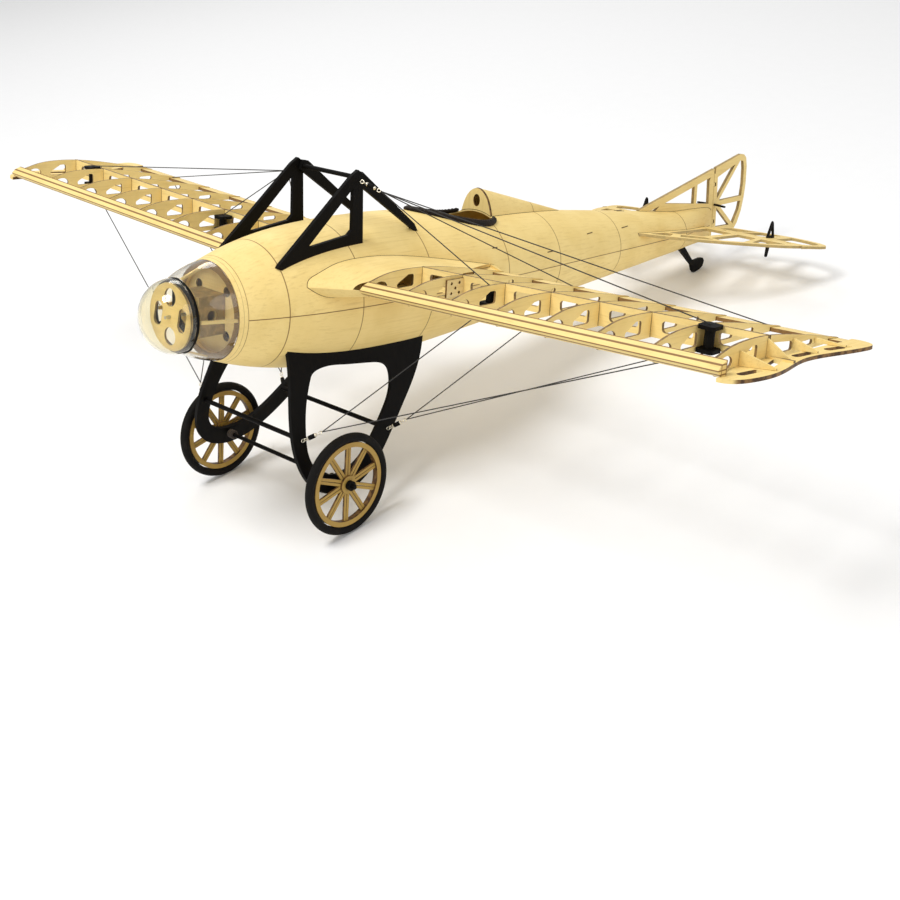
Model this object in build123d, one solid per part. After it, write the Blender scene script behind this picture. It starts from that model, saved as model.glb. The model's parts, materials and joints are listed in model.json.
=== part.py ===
from build123d import *
import math
import os

# Uncovered flying model of an early monocoque racing monoplane, 1 m span, in millimetres.
# Design frame: origin on the fuselage axis, +X to the right wing, +Y aft, +Z up.
# At the end everything is tipped back until the wheels and the tail skid stand on z = 0.

# ---------------------------------------------------------------- small allowances
SEAM_GAP = 0.25          # between neighbouring fuselage sheets
GLUE_FIT = 0.02          # between pieces that are glued face to face on a curve
RUNNING_FIT = 0.05       # radial, shaft in bore
HINGE_GAP = 0.6          # between a fixed tail part and its moving surface

# ---------------------------------------------------------------- fuselage
STATIONS = (-149.5, -112.0, -33.0, 58.0, 178.0, 271.0, 393.0, 545.0)
FRONT_RADIUS = 48.0
WAIST_RADIUS = 69.8
WAIST_Y = 35.0
REAR_RADIUS = 25.2
FRONT_FULLNESS = 2.9
REAR_SHOULDER = 0.10     # how gently the waist turns into the straight tail
PROFILE_STEP = 12.0      # spacing of the points that the side curve passes through
SKIN = 1.6
TAIL_END_Y = 629.0
TAIL_END_HALF_WIDTH = 3.2
TAIL_END_TOP = 25.0
TAIL_END_BOTTOM = -19.0
FORMER_THICKNESS = 2.5
FORMER_WIDTH = 9.0
LONGERON_DEPTH = 3.0
LONGERON_ARC = 4.0       # degrees
TOP_QUARTER = 1          # the longeron along the spine, which ends ahead of the cockpit
NOTCH_PLAY = 0.2         # over the longeron, in a former's notch

# ---------------------------------------------------------------- nose
NOSE_RING_LENGTH = 8.6
NOSE_RING_FRONT_RADIUS = 45.2
NOSE_RING_WIDTH = 7.0
COWL_FRONT_Y = -190.4
COWL_FRONT_RADIUS = 33.6
COWL_WALL = 0.8
BULKHEAD_THICKNESS = 3.0
NOSE_STICK_WIDTH = 3.0
MOTOR_BOX_SIDE = 36.0
MOTOR_BOX_HOLE_RADIUS = 5.0
MOTOR_BOX_FRONT_Y = -181.0
MOTOR_BOX_WALL = 3.0
SHAFT_RADIUS = 1.5
SPINNER_GAP = 0.8
BACKPLATE_THICKNESS = 3.0
SPINNER_RADIUS = 33.4
SPINNER_LENGTH = 30.0
SPINNER_WALL = 0.8
SPINNER_DISC_RADIUS = 30.0
SPINNER_DISC_THICKNESS = 2.0
SPINNER_DISC_SETBACK = 2.0
SPINNER_DISC_HOLES = 4
SPINNER_HUB_RADIUS = 7.0

# ---------------------------------------------------------------- cockpit
COCKPIT_FRONT_Y = 90.0
COCKPIT_HALF_WIDTH = 27.0
COCKPIT_REAR_Y = 187.0
COCKPIT_REAR_HALF_WIDTH = 25.0
COCKPIT_CUT_Z = 20.0
COAMING_WIDTH = 5.0
COAMING_HEIGHT = 2.6
HEADREST_THICKNESS = 2.5
HEADREST_HALF_WIDTH = 21.0
HEADREST_TOP = 82.0
HEADREST_HOLE_RADIUS = 4.6
TURTLEDECK_END_Y = 323.0

# ---------------------------------------------------------------- cabane
CABANE_X = 42.0
CABANE_THICKNESS = 4.0
CABANE_APEX = (-23.6, 121.8)
CABANE_FRONT = (-115.6, 41.0)
CABANE_REAR_Y = -14.5
CABANE_REAR_STRUT_END = (64.3, 51.0)
CROSS_ROD_RADIUS = 2.2

# ---------------------------------------------------------------- landing gear
WHEEL_X = 93.7
WHEEL_Y = -68.9
WHEEL_Z = -155.9
TYRE_RADIUS = 48.7
TYRE_WIDTH = 8.7
RIM_RADIUS = 40.4
RIM_DEPTH = 4.6
RIM_WIDTH = 6.0
SPOKE_PAIRS = 10
SPOKE_WIDTH = 2.6
SPOKE_THICKNESS = 2.0
HUB_RADIUS = 8.5
HUB_WIDTH = 6.4
AXLE_RADIUS = 2.0
AXLE_OVERHANG = 7.5
COLLAR_RADIUS = 4.6
COLLAR_LENGTH = 4.0
COLLAR_GAP = 0.4
BINDING_RADIUS = 1.15    # cord wound round the axle beside each gear frame
BINDING_TURNS = 3
BINDING_PITCH = 2.6
GEAR_THICKNESS = 4.0
GEAR_SPLAY = 0.30        # sideways run for each unit of drop
GEAR_TOP_X = 50.0
GEAR_TOP_Z = -46.0

# ---------------------------------------------------------------- wing
FIRST_RIB_X = 91.4
RIB_SPACING = 53.12
RIB_COUNT = 8
RIB_THICKNESS = 2.0
WING_LE_Y = -55.1        # nose of the section, carried in to the centre line
WING_SWEEP = 0.0546      # forward run of the nose for each unit of span
ROOT_CHORD = 193.0
TAPER = 0.022            # loss of chord for each unit of span
WING_Z = 10.0            # flat bottom, carried in to the centre line
DIHEDRAL = 0.0645
LE_DEPTH = 11.0
SPAR_SETBACK = 76.5      # section nose to the spar's front face
SPAR_THICKNESS = 3.0
SPAR_ROOT_OVERLAP = 30.0  # run inside the stub
SPAR_TIP_OVERLAP = 24.0   # run past the last rib
SECTION_HEIGHT = 20.4    # over the main spar
TE_DEPTH = 16.0
TE_HEIGHT = 3.2
TIP_LE_X = 485.0
TIP_X = 500.0
TIP_THICKNESS = 3.0
TIP_SLOT_WIDTH = 7.2
STUB_ROOT_X = 52.0
STUB_FLARE = 40.0        # extra chord ahead, inside the fuselage side
STUB_TAIL_FLARE = 24.0   # extra chord behind
STUB_LIFT = 1.45         # section height there, as a share of the wing's
STUB_SKIN = 1.5
JOINT_PLATE_LENGTH = 21.6
JOINT_PLATE_HEIGHT = 16.0
JOINT_HOLE_RADIUS = 1.4
POST_LIFT = 0.5          # above the flat bottom
POST_FLANGE = 15.0
POST_FLANGE_THICKNESS = 3.0
POST_CORE_RADIUS = 4.0
POST_HEIGHTS = (16.0, 21.4)  # inner and outer

# ---------------------------------------------------------------- tail
TAIL_SHEET = 3.2
WINDOW_CORNER = 2.0
TAILPLANE_FRONT = (431.0, 13.5)
TAILPLANE_SLOPE = -0.0758
ELEVATOR_HINGE_Y = 612.0
ELEVATOR_ROOT_X = 14.5
ELEVATOR_TIP_X = 147.0
FIN_SHEET = 4.0
FIN_START = (475.0, 33.2)  # front of the fin's sloping edge
RUDDER_HINGE_Y = 637.5   # where the hinge line crosses the fuselage axis
RUDDER_HINGE_RAKE = -0.10
RUDDER_TOP = 87.4
RUDDER_TOP_Y = 686.0
RUDDER_BOTTOM = -9.5
HINGE_PIN_RADIUS = 0.6
LUG_WIDTH = 4.0
LUG_GAP = 0.4            # each side of a hinge lug
HORN_X = 94.0
RUDDER_HORN_Z = 26.0
HORN_THICKNESS = 2.0
SKID_THICKNESS = 4.0
SKID_HEEL_Y = 606.0
SKID_HEEL_Z = -58.8
SKID_FOOT = 11.0         # length of the flat that rests on the ground

# ---------------------------------------------------------------- rigging
WIRE_RADIUS = 0.5
TURNBUCKLE_RADIUS = 1.7
TURNBUCKLE_LENGTH = 13.0
EYE_LENGTH = 5.0
EYE_RADIUS = 1.9
EYE_WIRE = 0.55

SIDE_PLANE = Plane(origin=(0, 0, 0), x_dir=(0, 1, 0), z_dir=(1, 0, 0))
nodes = {}


# ================================================================ helpers
def hull_radius(y):
    """Outside radius of the fuselage at station y."""
    if y < WAIST_Y:
        t = (WAIST_Y - y) / (WAIST_Y - STATIONS[0])
        return WAIST_RADIUS - (WAIST_RADIUS - FRONT_RADIUS) * t ** FRONT_FULLNESS
    t = (y - WAIST_Y) / (STATIONS[-1] - WAIST_Y)
    bend = REAR_SHOULDER
    share = (math.hypot(t, bend) - bend) / (math.hypot(1, bend) - bend)
    return WAIST_RADIUS - (WAIST_RADIUS - REAR_RADIUS) * share


def surface_z(x, y):
    """Height of the fuselage's upper surface at x, y."""
    return math.sqrt(hull_radius(y) ** 2 - x ** 2)


def stations_between(y0, y1):
    """Evenly spaced stations from y0 to y1 for the side curve."""
    steps = max(4, math.ceil((y1 - y0) / PROFILE_STEP))
    return [y0 + (y1 - y0) * i / steps for i in range(steps + 1)]


def hull_shell(y0, y1, outer, inner, start=0.0, arc=360.0):
    """Part of the fuselage wall from y0 to y1, between two offsets from its outside."""
    ys = stations_between(y0, y1)
    out = [(hull_radius(y) + outer, y) for y in ys]
    inn = [(hull_radius(y) + inner, y) for y in reversed(ys)]
    face = make_face([Spline(*out), Line(out[-1], inn[0]), Spline(*inn), Line(inn[-1], out[0])])
    solid = revolve(face, axis=Axis((0, 0, 0), (0, -1, 0)), revolution_arc=arc)
    return Rot(0, -start, 0) * solid


def hull_core(y0, y1, offset=0.0):
    """The filled fuselage from y0 to y1."""
    ys = stations_between(y0, y1)
    out = [(hull_radius(y) + offset, y) for y in ys]
    face = make_face([Line((0, y0), out[0]), Spline(*out), Line(out[-1], (0, y1)), Line((0, y1), (0, y0))])
    return revolve(face, axis=Axis.Y, revolution_arc=360)


def side_plate(points, x, thickness):
    """Plate with the outline points (y, z), centred on the plane at x."""
    plane = Plane(origin=(x, 0, 0), x_dir=(0, 1, 0), z_dir=(1, 0, 0))
    return extrude(plane * Polygon(*points, align=None), thickness / 2, both=True)


def eased(face, radius):
    """Outline with its corners rounded."""
    return fillet(face.vertices(), radius)


def bar(start, end, width, plane, thickness):
    """Flat bar between two points of a plane."""
    a, b = Vector(*start), Vector(*end)
    length = (b - a).length
    angle = math.degrees(math.atan2(end[1] - start[1], end[0] - start[0]))
    middle = ((start[0] + end[0]) / 2, (start[1] + end[1]) / 2)
    face = plane * (Pos(*middle) * (Rot(0, 0, angle) * Rectangle(length, width)))
    return extrude(face, thickness / 2, both=True)


def rod(start, end, radius):
    """Round rod between two points."""
    a, b = Vector(*start), Vector(*end)
    plane = Plane(origin=a, z_dir=(b - a).normalized())
    return extrude(plane * Circle(radius), (b - a).length)


def mirrored(shape):
    return mirror(shape, about=Plane.YZ)


def group(*shapes):
    """Several separate solids as one node."""
    solids = []
    for shape in shapes:
        solids.extend(shape.solids())
    return Compound(children=solids)


def pair(name, shape):
    """The right-hand piece and its mirror image as two nodes."""
    nodes["right_" + name] = group(shape)
    nodes["left_" + name] = group(mirrored(shape))


# ================================================================ fuselage
def cockpit_outline(offset):
    """Plan of the cockpit opening, grown by an offset."""
    wide = COCKPIT_HALF_WIDTH + offset
    front = COCKPIT_FRONT_Y - offset
    rear = COCKPIT_REAR_Y
    waist = COCKPIT_FRONT_Y + 1.6 * COCKPIT_HALF_WIDTH
    side = COCKPIT_REAR_HALF_WIDTH + offset
    curve = Spline((-side, rear), (-wide, waist), (0, front), (wide, waist), (side, rear))
    return make_face([curve, Line((side, rear), (-side, rear))])


def cockpit_cutter():
    """Upright block through the cockpit opening."""
    return Pos(0, 0, COCKPIT_CUT_Z) * extrude(cockpit_outline(0), WAIST_RADIUS)


def fuselage_skins():
    """Upper and lower sheets, bay by bay, in three lengths."""
    lengths = (("front", 0, 2), ("middle", 2, 4), ("rear", 4, 7))
    opening = cockpit_cutter()
    for half, start in (("upper", 0.0), ("lower", 180.0)):
        for label, first, last in lengths:
            sheets = []
            for bay in range(first, last):
                y0 = STATIONS[bay] + SEAM_GAP / 2
                y1 = STATIONS[bay + 1] - SEAM_GAP / 2
                gap = math.degrees(SEAM_GAP / 2 / hull_radius(y0))
                sheet = hull_shell(y0, y1, 0, -SKIN, start + gap, 180 - 2 * gap)
                if half == "upper" and y1 > COCKPIT_FRONT_Y and y0 < COCKPIT_REAR_Y:
                    sheet = sheet - opening
                sheets.append(sheet)
            nodes["fuselage_" + half + "_" + label] = group(*sheets)


def fuselage_frame():
    """Ring formers at the bay joints and four longerons behind the seams."""
    longerons = []
    for quarter in range(4):
        start = quarter * 90 - LONGERON_ARC / 2
        y0 = STATIONS[0] + FORMER_THICKNESS
        y1 = STATIONS[-1]
        if quarter == TOP_QUARTER:
            y1 = COCKPIT_FRONT_Y - COAMING_WIDTH
        inner = -SKIN - GLUE_FIT
        longerons.append(hull_shell(y0, y1, inner, inner - LONGERON_DEPTH, start, LONGERON_ARC))
    rings = []
    for y in STATIONS[:-1]:
        middle = min(max(y, STATIONS[0] + FORMER_THICKNESS / 2), STATIONS[-1])
        outside = min(hull_radius(middle + side * FORMER_THICKNESS / 2) for side in (-1, 1))
        outside -= SKIN + GLUE_FIT
        plane = Plane(origin=(0, middle, 0), z_dir=(0, 1, 0))
        section = Circle(outside) - Circle(outside - FORMER_WIDTH)
        ring = extrude(plane * section, FORMER_THICKNESS / 2, both=True)
        notch_width = outside * math.radians(LONGERON_ARC) + NOTCH_PLAY
        notch = Box(2 * LONGERON_DEPTH + NOTCH_PLAY, 2 * FORMER_THICKNESS, notch_width)
        for quarter in range(4):
            if quarter != TOP_QUARTER or middle < COCKPIT_FRONT_Y:
                ring = ring - Rot(0, -90 * quarter, 0) * Pos(outside, middle, 0) * notch
        if abs(middle - COCKPIT_REAR_Y) < 12:
            ring = ring - cockpit_cutter()
        rings.append(ring)
    nodes["fuselage_formers"] = group(*rings)
    nodes["fuselage_longerons"] = group(*longerons)


def tail_section(y, half_width, top, bottom):
    """Oval section of the tail cone."""
    plane = Plane(origin=(0, y, (top + bottom) / 2), x_dir=(1, 0, 0), z_dir=(0, -1, 0))
    return plane * Ellipse(half_width, (top - bottom) / 2)


def tail_cone_solid(shrink):
    """Tail cone closing from a circle to an upright edge."""
    round_radius = REAR_RADIUS - shrink
    start = tail_section(STATIONS[-1] + SEAM_GAP, round_radius, round_radius, -round_radius)
    middle_y = (STATIONS[-1] + TAIL_END_Y) / 2
    middle_width = 0.56 * REAR_RADIUS - shrink
    middle = tail_section(middle_y, middle_width, TAIL_END_TOP - shrink, TAIL_END_BOTTOM - 3 + shrink)
    narrow = max(TAIL_END_HALF_WIDTH - shrink, 0.8)
    end = tail_section(TAIL_END_Y, narrow, TAIL_END_TOP - shrink, TAIL_END_BOTTOM + shrink)
    return loft([start, middle, end])


def fuselage_tail():
    nodes["tail_cone"] = group(tail_cone_solid(0) - tail_cone_solid(SKIN))


# ================================================================ nose
def ring_solid(y0, y1, radii0, radii1):
    """Tapered ring: (outer, inner) radii at each end."""
    face = Polygon((radii0[0], y0), (radii1[0], y1), (radii1[1], y1), (radii0[1], y0), align=None)
    return revolve(face, axis=Axis.Y, revolution_arc=360)


def nose():
    ring_y = STATIONS[0] - NOSE_RING_LENGTH
    inner = NOSE_RING_FRONT_RADIUS - NOSE_RING_WIDTH
    nodes["nose_ring"] = group(
        ring_solid(ring_y, STATIONS[0], (NOSE_RING_FRONT_RADIUS, inner), (FRONT_RADIUS, inner))
    )
    # clear cowl: a gently bowed frustum seated on the nose ring's front face
    mid_y = (COWL_FRONT_Y + ring_y) / 2
    mid_r = (COWL_FRONT_RADIUS + NOSE_RING_FRONT_RADIUS) / 2 + 1.6
    out = [(COWL_FRONT_RADIUS, COWL_FRONT_Y), (mid_r, mid_y), (NOSE_RING_FRONT_RADIUS, ring_y - GLUE_FIT)]
    inn = [(r - COWL_WALL, y) for r, y in reversed(out)]
    wall = make_face([Spline(*out), Line(out[-1], inn[0]), Spline(*inn), Line(inn[-1], out[0])])
    nodes["clear_cowl"] = group(revolve(wall, axis=Axis.Y, revolution_arc=360))
    # plywood box that carries the propeller shaft, on a bulkhead inside the nose ring
    bulkhead_front = STATIONS[0] - BULKHEAD_THICKNESS
    bulkhead_plane = Plane(origin=(0, bulkhead_front, 0), z_dir=(0, 1, 0))
    bulkhead = Circle(inner - GLUE_FIT)
    for angle in range(45, 360, 90):
        bulkhead = bulkhead - Rot(0, 0, angle) * (Pos(0.74 * inner, 0) * Circle(0.12 * inner))
    bulkhead = extrude(bulkhead_plane * bulkhead, BULKHEAD_THICKNESS)
    depth = bulkhead_front - GLUE_FIT - MOTOR_BOX_FRONT_Y
    middle = MOTOR_BOX_FRONT_Y + depth / 2
    side = MOTOR_BOX_SIDE
    box = Pos(0, middle, 0) * Box(side, depth, side)
    hollow = side - 2 * MOTOR_BOX_WALL
    box = box - Pos(0, middle + MOTOR_BOX_WALL, 0) * Box(hollow, depth, hollow)
    plane = Plane(origin=(0, MOTOR_BOX_FRONT_Y, 0), z_dir=(0, 1, 0))
    box = box - extrude(plane * Circle(SHAFT_RADIUS + RUNNING_FIT), MOTOR_BOX_WALL)
    window = Plane(origin=(0, middle, 0), z_dir=(1, 0, 0))
    box = box - extrude(window * Circle(MOTOR_BOX_HOLE_RADIUS), side, both=True)
    nodes["motor_box"] = group(box, bulkhead)
    # sticks along the inside of the cowl, standing on the nose ring
    seat = (NOSE_RING_FRONT_RADIUS - COWL_WALL - NOSE_STICK_WIDTH, ring_y - GLUE_FIT)
    head = (COWL_FRONT_RADIUS - COWL_WALL - NOSE_STICK_WIDTH, COWL_FRONT_Y + 2)
    depth = NOSE_STICK_WIDTH - 1
    outline = Polygon(seat, (seat[0] + depth, seat[1]), (head[0] + depth, head[1]), head, align=None)
    stick = extrude(outline, NOSE_STICK_WIDTH / 2, both=True)
    nodes["nose_sticks"] = group(*[Rot(0, angle, 0) * stick for angle in range(0, 360, 90)])
    # spinner: back plate, slotted wooden disc, clear dome, shaft
    plate_rear = COWL_FRONT_Y - SPINNER_GAP
    plate_front = plate_rear - BACKPLATE_THICKNESS
    rear_plane = Plane(origin=(0, plate_rear, 0), z_dir=(0, -1, 0))
    rim = Circle(SPINNER_RADIUS) - Circle(SPINNER_DISC_RADIUS - 2)
    spider = Circle(SPINNER_HUB_RADIUS) - Circle(SHAFT_RADIUS)
    plate = extrude(rear_plane * (rim + spider), BACKPLATE_THICKNESS)
    arm_start = SPINNER_HUB_RADIUS - 2
    arm_middle = (arm_start + SPINNER_DISC_RADIUS) / 2
    arm_length = SPINNER_DISC_RADIUS - arm_start
    arm = Pos(arm_middle, plate_rear - BACKPLATE_THICKNESS / 2, 0) * Box(arm_length, BACKPLATE_THICKNESS, 5)
    for number in range(3):
        plate = plate + Rot(0, number * 120 - 90, 0) * arm
    plate = plate - rod((0, plate_rear + 1, 0), (0, plate_front - 1, 0), SHAFT_RADIUS)
    nodes["spinner_back_ring"] = group(plate)
    disc_face = Circle(SPINNER_DISC_RADIUS) - Circle(SHAFT_RADIUS)
    for hole in range(SPINNER_DISC_HOLES):
        window = SlotOverall(22, 11) if hole % 2 else Circle(8)
        window = Pos(0.58 * SPINNER_DISC_RADIUS, 0) * Rot(0, 0, 78) * window
        disc_face = disc_face - Rot(0, 0, hole * 360 / SPINNER_DISC_HOLES) * window
    disc_plane = Plane(origin=(0, plate_front - SPINNER_DISC_SETBACK, 0), z_dir=(0, -1, 0))
    disc = extrude(disc_plane * disc_face, SPINNER_DISC_THICKNESS)
    spacer = extrude(rear_plane.offset(BACKPLATE_THICKNESS) * spider, SPINNER_DISC_SETBACK)
    nodes["spinner_disc"] = group(disc, spacer)
    tip_y = plate_front - SPINNER_LENGTH
    outer = dome_profile(plate_front, tip_y, SPINNER_RADIUS)
    inside = dome_profile(plate_front, tip_y + SPINNER_WALL, SPINNER_RADIUS - SPINNER_WALL)
    nodes["spinner_dome"] = group(outer - inside)
    shaft_front = plate_front - SPINNER_DISC_SETBACK - SPINNER_DISC_THICKNESS - 5
    nodes["propeller_shaft"] = group(rod((0, shaft_front, 0), (0, MOTOR_BOX_FRONT_Y + 12, 0), SHAFT_RADIUS))


def dome_profile(base_y, tip_y, radius):
    """Filled spinner dome: a blunt half oval."""
    length = base_y - tip_y
    steps = 8
    points = []
    for i in range(steps):
        a = math.pi / 2 * i / steps
        points.append((radius * math.cos(a), base_y - length * math.sin(a)))
    points.append((0, tip_y))
    curve = Spline(*points, tangents=((0, -1), (-1, 0)))
    face = make_face([curve, Line((0, tip_y), (0, base_y)), Line((0, base_y), points[0])])
    return revolve(face, axis=Axis.Y, revolution_arc=360)


# ================================================================ cockpit
def cockpit():
    rim = extrude(cockpit_outline(COAMING_WIDTH - 1) - cockpit_outline(-1), WAIST_RADIUS)
    shell = hull_shell(COCKPIT_FRONT_Y - 12, COCKPIT_REAR_Y + 1, COAMING_HEIGHT, GLUE_FIT, 10, 160)
    nodes["cockpit_coaming"] = group((Pos(0, 0, COCKPIT_CUT_Z) * rim) & shell)
    # headrest arch standing behind the opening
    front = COCKPIT_REAR_Y + GLUE_FIT
    base = surface_z(HEADREST_HALF_WIDTH, front) - 1.5
    plane = Plane(origin=(0, front, 0), x_dir=(1, 0, 0), z_dir=(0, -1, 0))
    rise = HEADREST_TOP - base
    arch = Pos(0, base) * arch_face(HEADREST_HALF_WIDTH, rise)
    hole = Pos(0, base + 0.55 * rise) * Ellipse(HEADREST_HOLE_RADIUS, HEADREST_HOLE_RADIUS * 1.4)
    board = extrude(plane * (arch - hole), -HEADREST_THICKNESS)
    core = hull_core(front - 20, TURTLEDECK_END_Y + 30, GLUE_FIT)
    nodes["headrest_former"] = group(board - core)
    nodes["turtledeck"] = group(turtledeck_solid(0) - turtledeck_solid(SKIN) - core)


def arch_face(wide, rise):
    """Upright arch, narrower than a half oval, with a skirt below its base."""
    skirt = 0.3 * rise
    half = [(wide, 0), (0.84 * wide, 0.4 * rise), (0.5 * wide, 0.82 * rise)]
    points = half + [(0, rise)] + [(-x, z) for x, z in reversed(half)]
    low_left, low_right = (-wide, -skirt), (wide, -skirt)
    sides = [Line((-wide, 0), low_left), Line(low_left, low_right), Line(low_right, (wide, 0))]
    return make_face([Spline(*points), *sides])


def turtledeck_solid(shrink):
    """Fairing that runs from the headrest arch down to the fuselage's spine."""
    start_y = COCKPIT_REAR_Y + HEADREST_THICKNESS + 2 * GLUE_FIT
    base = surface_z(HEADREST_HALF_WIDTH, start_y) - 1.5
    sections = []
    for share in (0.0, 0.5, 1.0):
        y = start_y + (TURTLEDECK_END_Y - start_y) * share
        wide = HEADREST_HALF_WIDTH * (1 - 0.93 * share) - shrink * (1 - share * 0.8)
        low = base + (hull_radius(TURTLEDECK_END_Y) - 3 - base) * share
        top = HEADREST_TOP + (hull_radius(TURTLEDECK_END_Y) + 0.6 - HEADREST_TOP) * share
        rise = top - low - shrink
        plane = Plane(origin=(0, y, low), x_dir=(1, 0, 0), z_dir=(0, -1, 0))
        sections.append(plane * arch_face(wide, rise))
    return loft(sections, ruled=True)


# ================================================================ cabane
def cabane():
    apex_y, apex_z = CABANE_APEX
    front_y, front_z = CABANE_FRONT
    rear_y = CABANE_REAR_Y
    low = surface_z(CABANE_X, rear_y) - 6
    outer = [
        (front_y, front_z), (front_y + 2, front_z + 3), (apex_y - 8, apex_z - 5), (apex_y, apex_z),
        (apex_y + 6, apex_z - 4), (rear_y, low), (rear_y - 40, low - 4), (front_y + 5, front_z - 2),
    ]
    inner = [
        (front_y + 36, 58.0), (apex_y - 5.5, apex_z - 16), (apex_y - 5, 67.0),
        (apex_y - 10, 62.5), (front_y + 40, 56.6),
    ]
    plate = side_plate(outer, CABANE_X, CABANE_THICKNESS) - side_plate(inner, CABANE_X, CABANE_THICKNESS * 2)
    hull = hull_core(STATIONS[0], STATIONS[3], GLUE_FIT)
    pair("cabane_frame", plate - hull)
    # rear strut: a tapered strip from the apex to the fuselage's shoulder
    end_y, end_z = CABANE_REAR_STRUT_END
    x = CABANE_X - CABANE_THICKNESS - GLUE_FIT
    strut = side_plate(
        [(apex_y + 3, apex_z - 2), (apex_y + 9, apex_z - 3), (end_y - 8, end_z + 13), (end_y, end_z),
         (end_y - 15, end_z + 11), (apex_y, apex_z - 11)],
        x, CABANE_THICKNESS,
    )
    strut = strut - hull_core(STATIONS[1], STATIONS[4], GLUE_FIT)
    nodes["cabane_rear_struts"] = group(strut, mirrored(strut))
    reach = CABANE_X - 1.5 * CABANE_THICKNESS - GLUE_FIT
    nodes["cabane_cross_rod"] = group(
        rod((-reach, apex_y + 4, apex_z - 8), (reach, apex_y + 4, apex_z - 8), CROSS_ROD_RADIUS)
    )


# ================================================================ landing gear
def gear_x(z):
    """Sideways place of the splayed gear frame's middle plane at height z."""
    return GEAR_TOP_X + GEAR_SPLAY * (GEAR_TOP_Z - z)


def gear_plane():
    lean = math.atan(GEAR_SPLAY)
    return Plane(
        origin=(gear_x(0), 0, 0),
        x_dir=(0, 1, 0),
        z_dir=(math.cos(lean), 0, math.sin(lean)),
    )


def gear_outline():
    """Outside of the hoop: shoulder, front leg, foot round the axle, rear leg."""
    stretch = math.sqrt(1 + GEAR_SPLAY ** 2)
    foot = WHEEL_Z - 11
    front = [(-106, -30), (-110.5, -75), (-115.5, -109), (-113, -134), (-101, -155)]
    back = [(-38, -159), (-10.5, -139), (19.5, -108), (47, -77), (65.5, -40), (66, -30)]
    flat = [(y, z * stretch) for y, z in front]
    base = (WHEEL_Y, foot * stretch)
    rear = [(y, z * stretch) for y, z in back]
    edge = [Spline(*flat, base, *rear[:5]), Line(rear[4], rear[5]), Line(rear[5], flat[0])]
    return make_face(edge)


def gear_opening():
    stretch = math.sqrt(1 + GEAR_SPLAY ** 2)
    points = [
        (-84, -62), (-94, -84), (-100, -110), (-99.5, -131), (-89, -145), (WHEEL_Y, -149), (-48, -144),
        (-21.5, -125), (-4, -107), (13, -80), (12, -67), (-6, -60.5), (-40, -57), (-70, -55.5),
    ]
    flat = [(y, z * stretch) for y, z in points]
    return make_face(Spline(*flat, periodic=True))


def landing_gear():
    plate = extrude(gear_plane() * (gear_outline() - gear_opening()), GEAR_THICKNESS / 2, both=True)
    plate = plate - hull_core(STATIONS[0], STATIONS[4], GLUE_FIT)
    end = WHEEL_X + AXLE_OVERHANG + COLLAR_LENGTH
    axle = rod((-end, WHEEL_Y, WHEEL_Z), (end, WHEEL_Y, WHEEL_Z), AXLE_RADIUS)
    spreaders = []
    for y, z in ((-108, -111), (-10.5, -117)):
        reach = gear_x(z)
        spreaders.append(rod((-reach, y, z), (reach, y, z), CROSS_ROD_RADIUS))
    rods = group(*spreaders)
    for cutter in spreaders:
        plate = plate - cutter
    plate = plate - rod((0, WHEEL_Y, WHEEL_Z), (end, WHEEL_Y, WHEEL_Z), AXLE_RADIUS)
    pair("gear_frame", plate)
    nodes["gear_cross_rods"] = rods
    nodes["axle"] = group(axle)
    collars = []
    bindings = []
    outside = WHEEL_X + HUB_WIDTH / 2 + COLLAR_GAP
    inside = WHEEL_X - HUB_WIDTH / 2 - COLLAR_GAP
    for side in (1, -1):
        for start in (outside, inside - COLLAR_LENGTH * 0.6):
            length = COLLAR_LENGTH if start == outside else COLLAR_LENGTH * 0.6
            near = (side * start, WHEEL_Y, WHEEL_Z)
            far = (side * (start + length), WHEEL_Y, WHEEL_Z)
            collars.append(rod(near, far, COLLAR_RADIUS) - axle)
        face = gear_x(WHEEL_Z) - GEAR_THICKNESS - BINDING_RADIUS
        for turn in range(BINDING_TURNS):
            x = face - turn * BINDING_PITCH
            wrap = Torus(AXLE_RADIUS + BINDING_RADIUS + GLUE_FIT, BINDING_RADIUS)
            bindings.append(Pos(side * x, WHEEL_Y, WHEEL_Z) * Rot(0, 90, 0) * wrap)
    nodes["wheel_collars"] = group(*collars)
    nodes["axle_bindings"] = group(*bindings)


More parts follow.
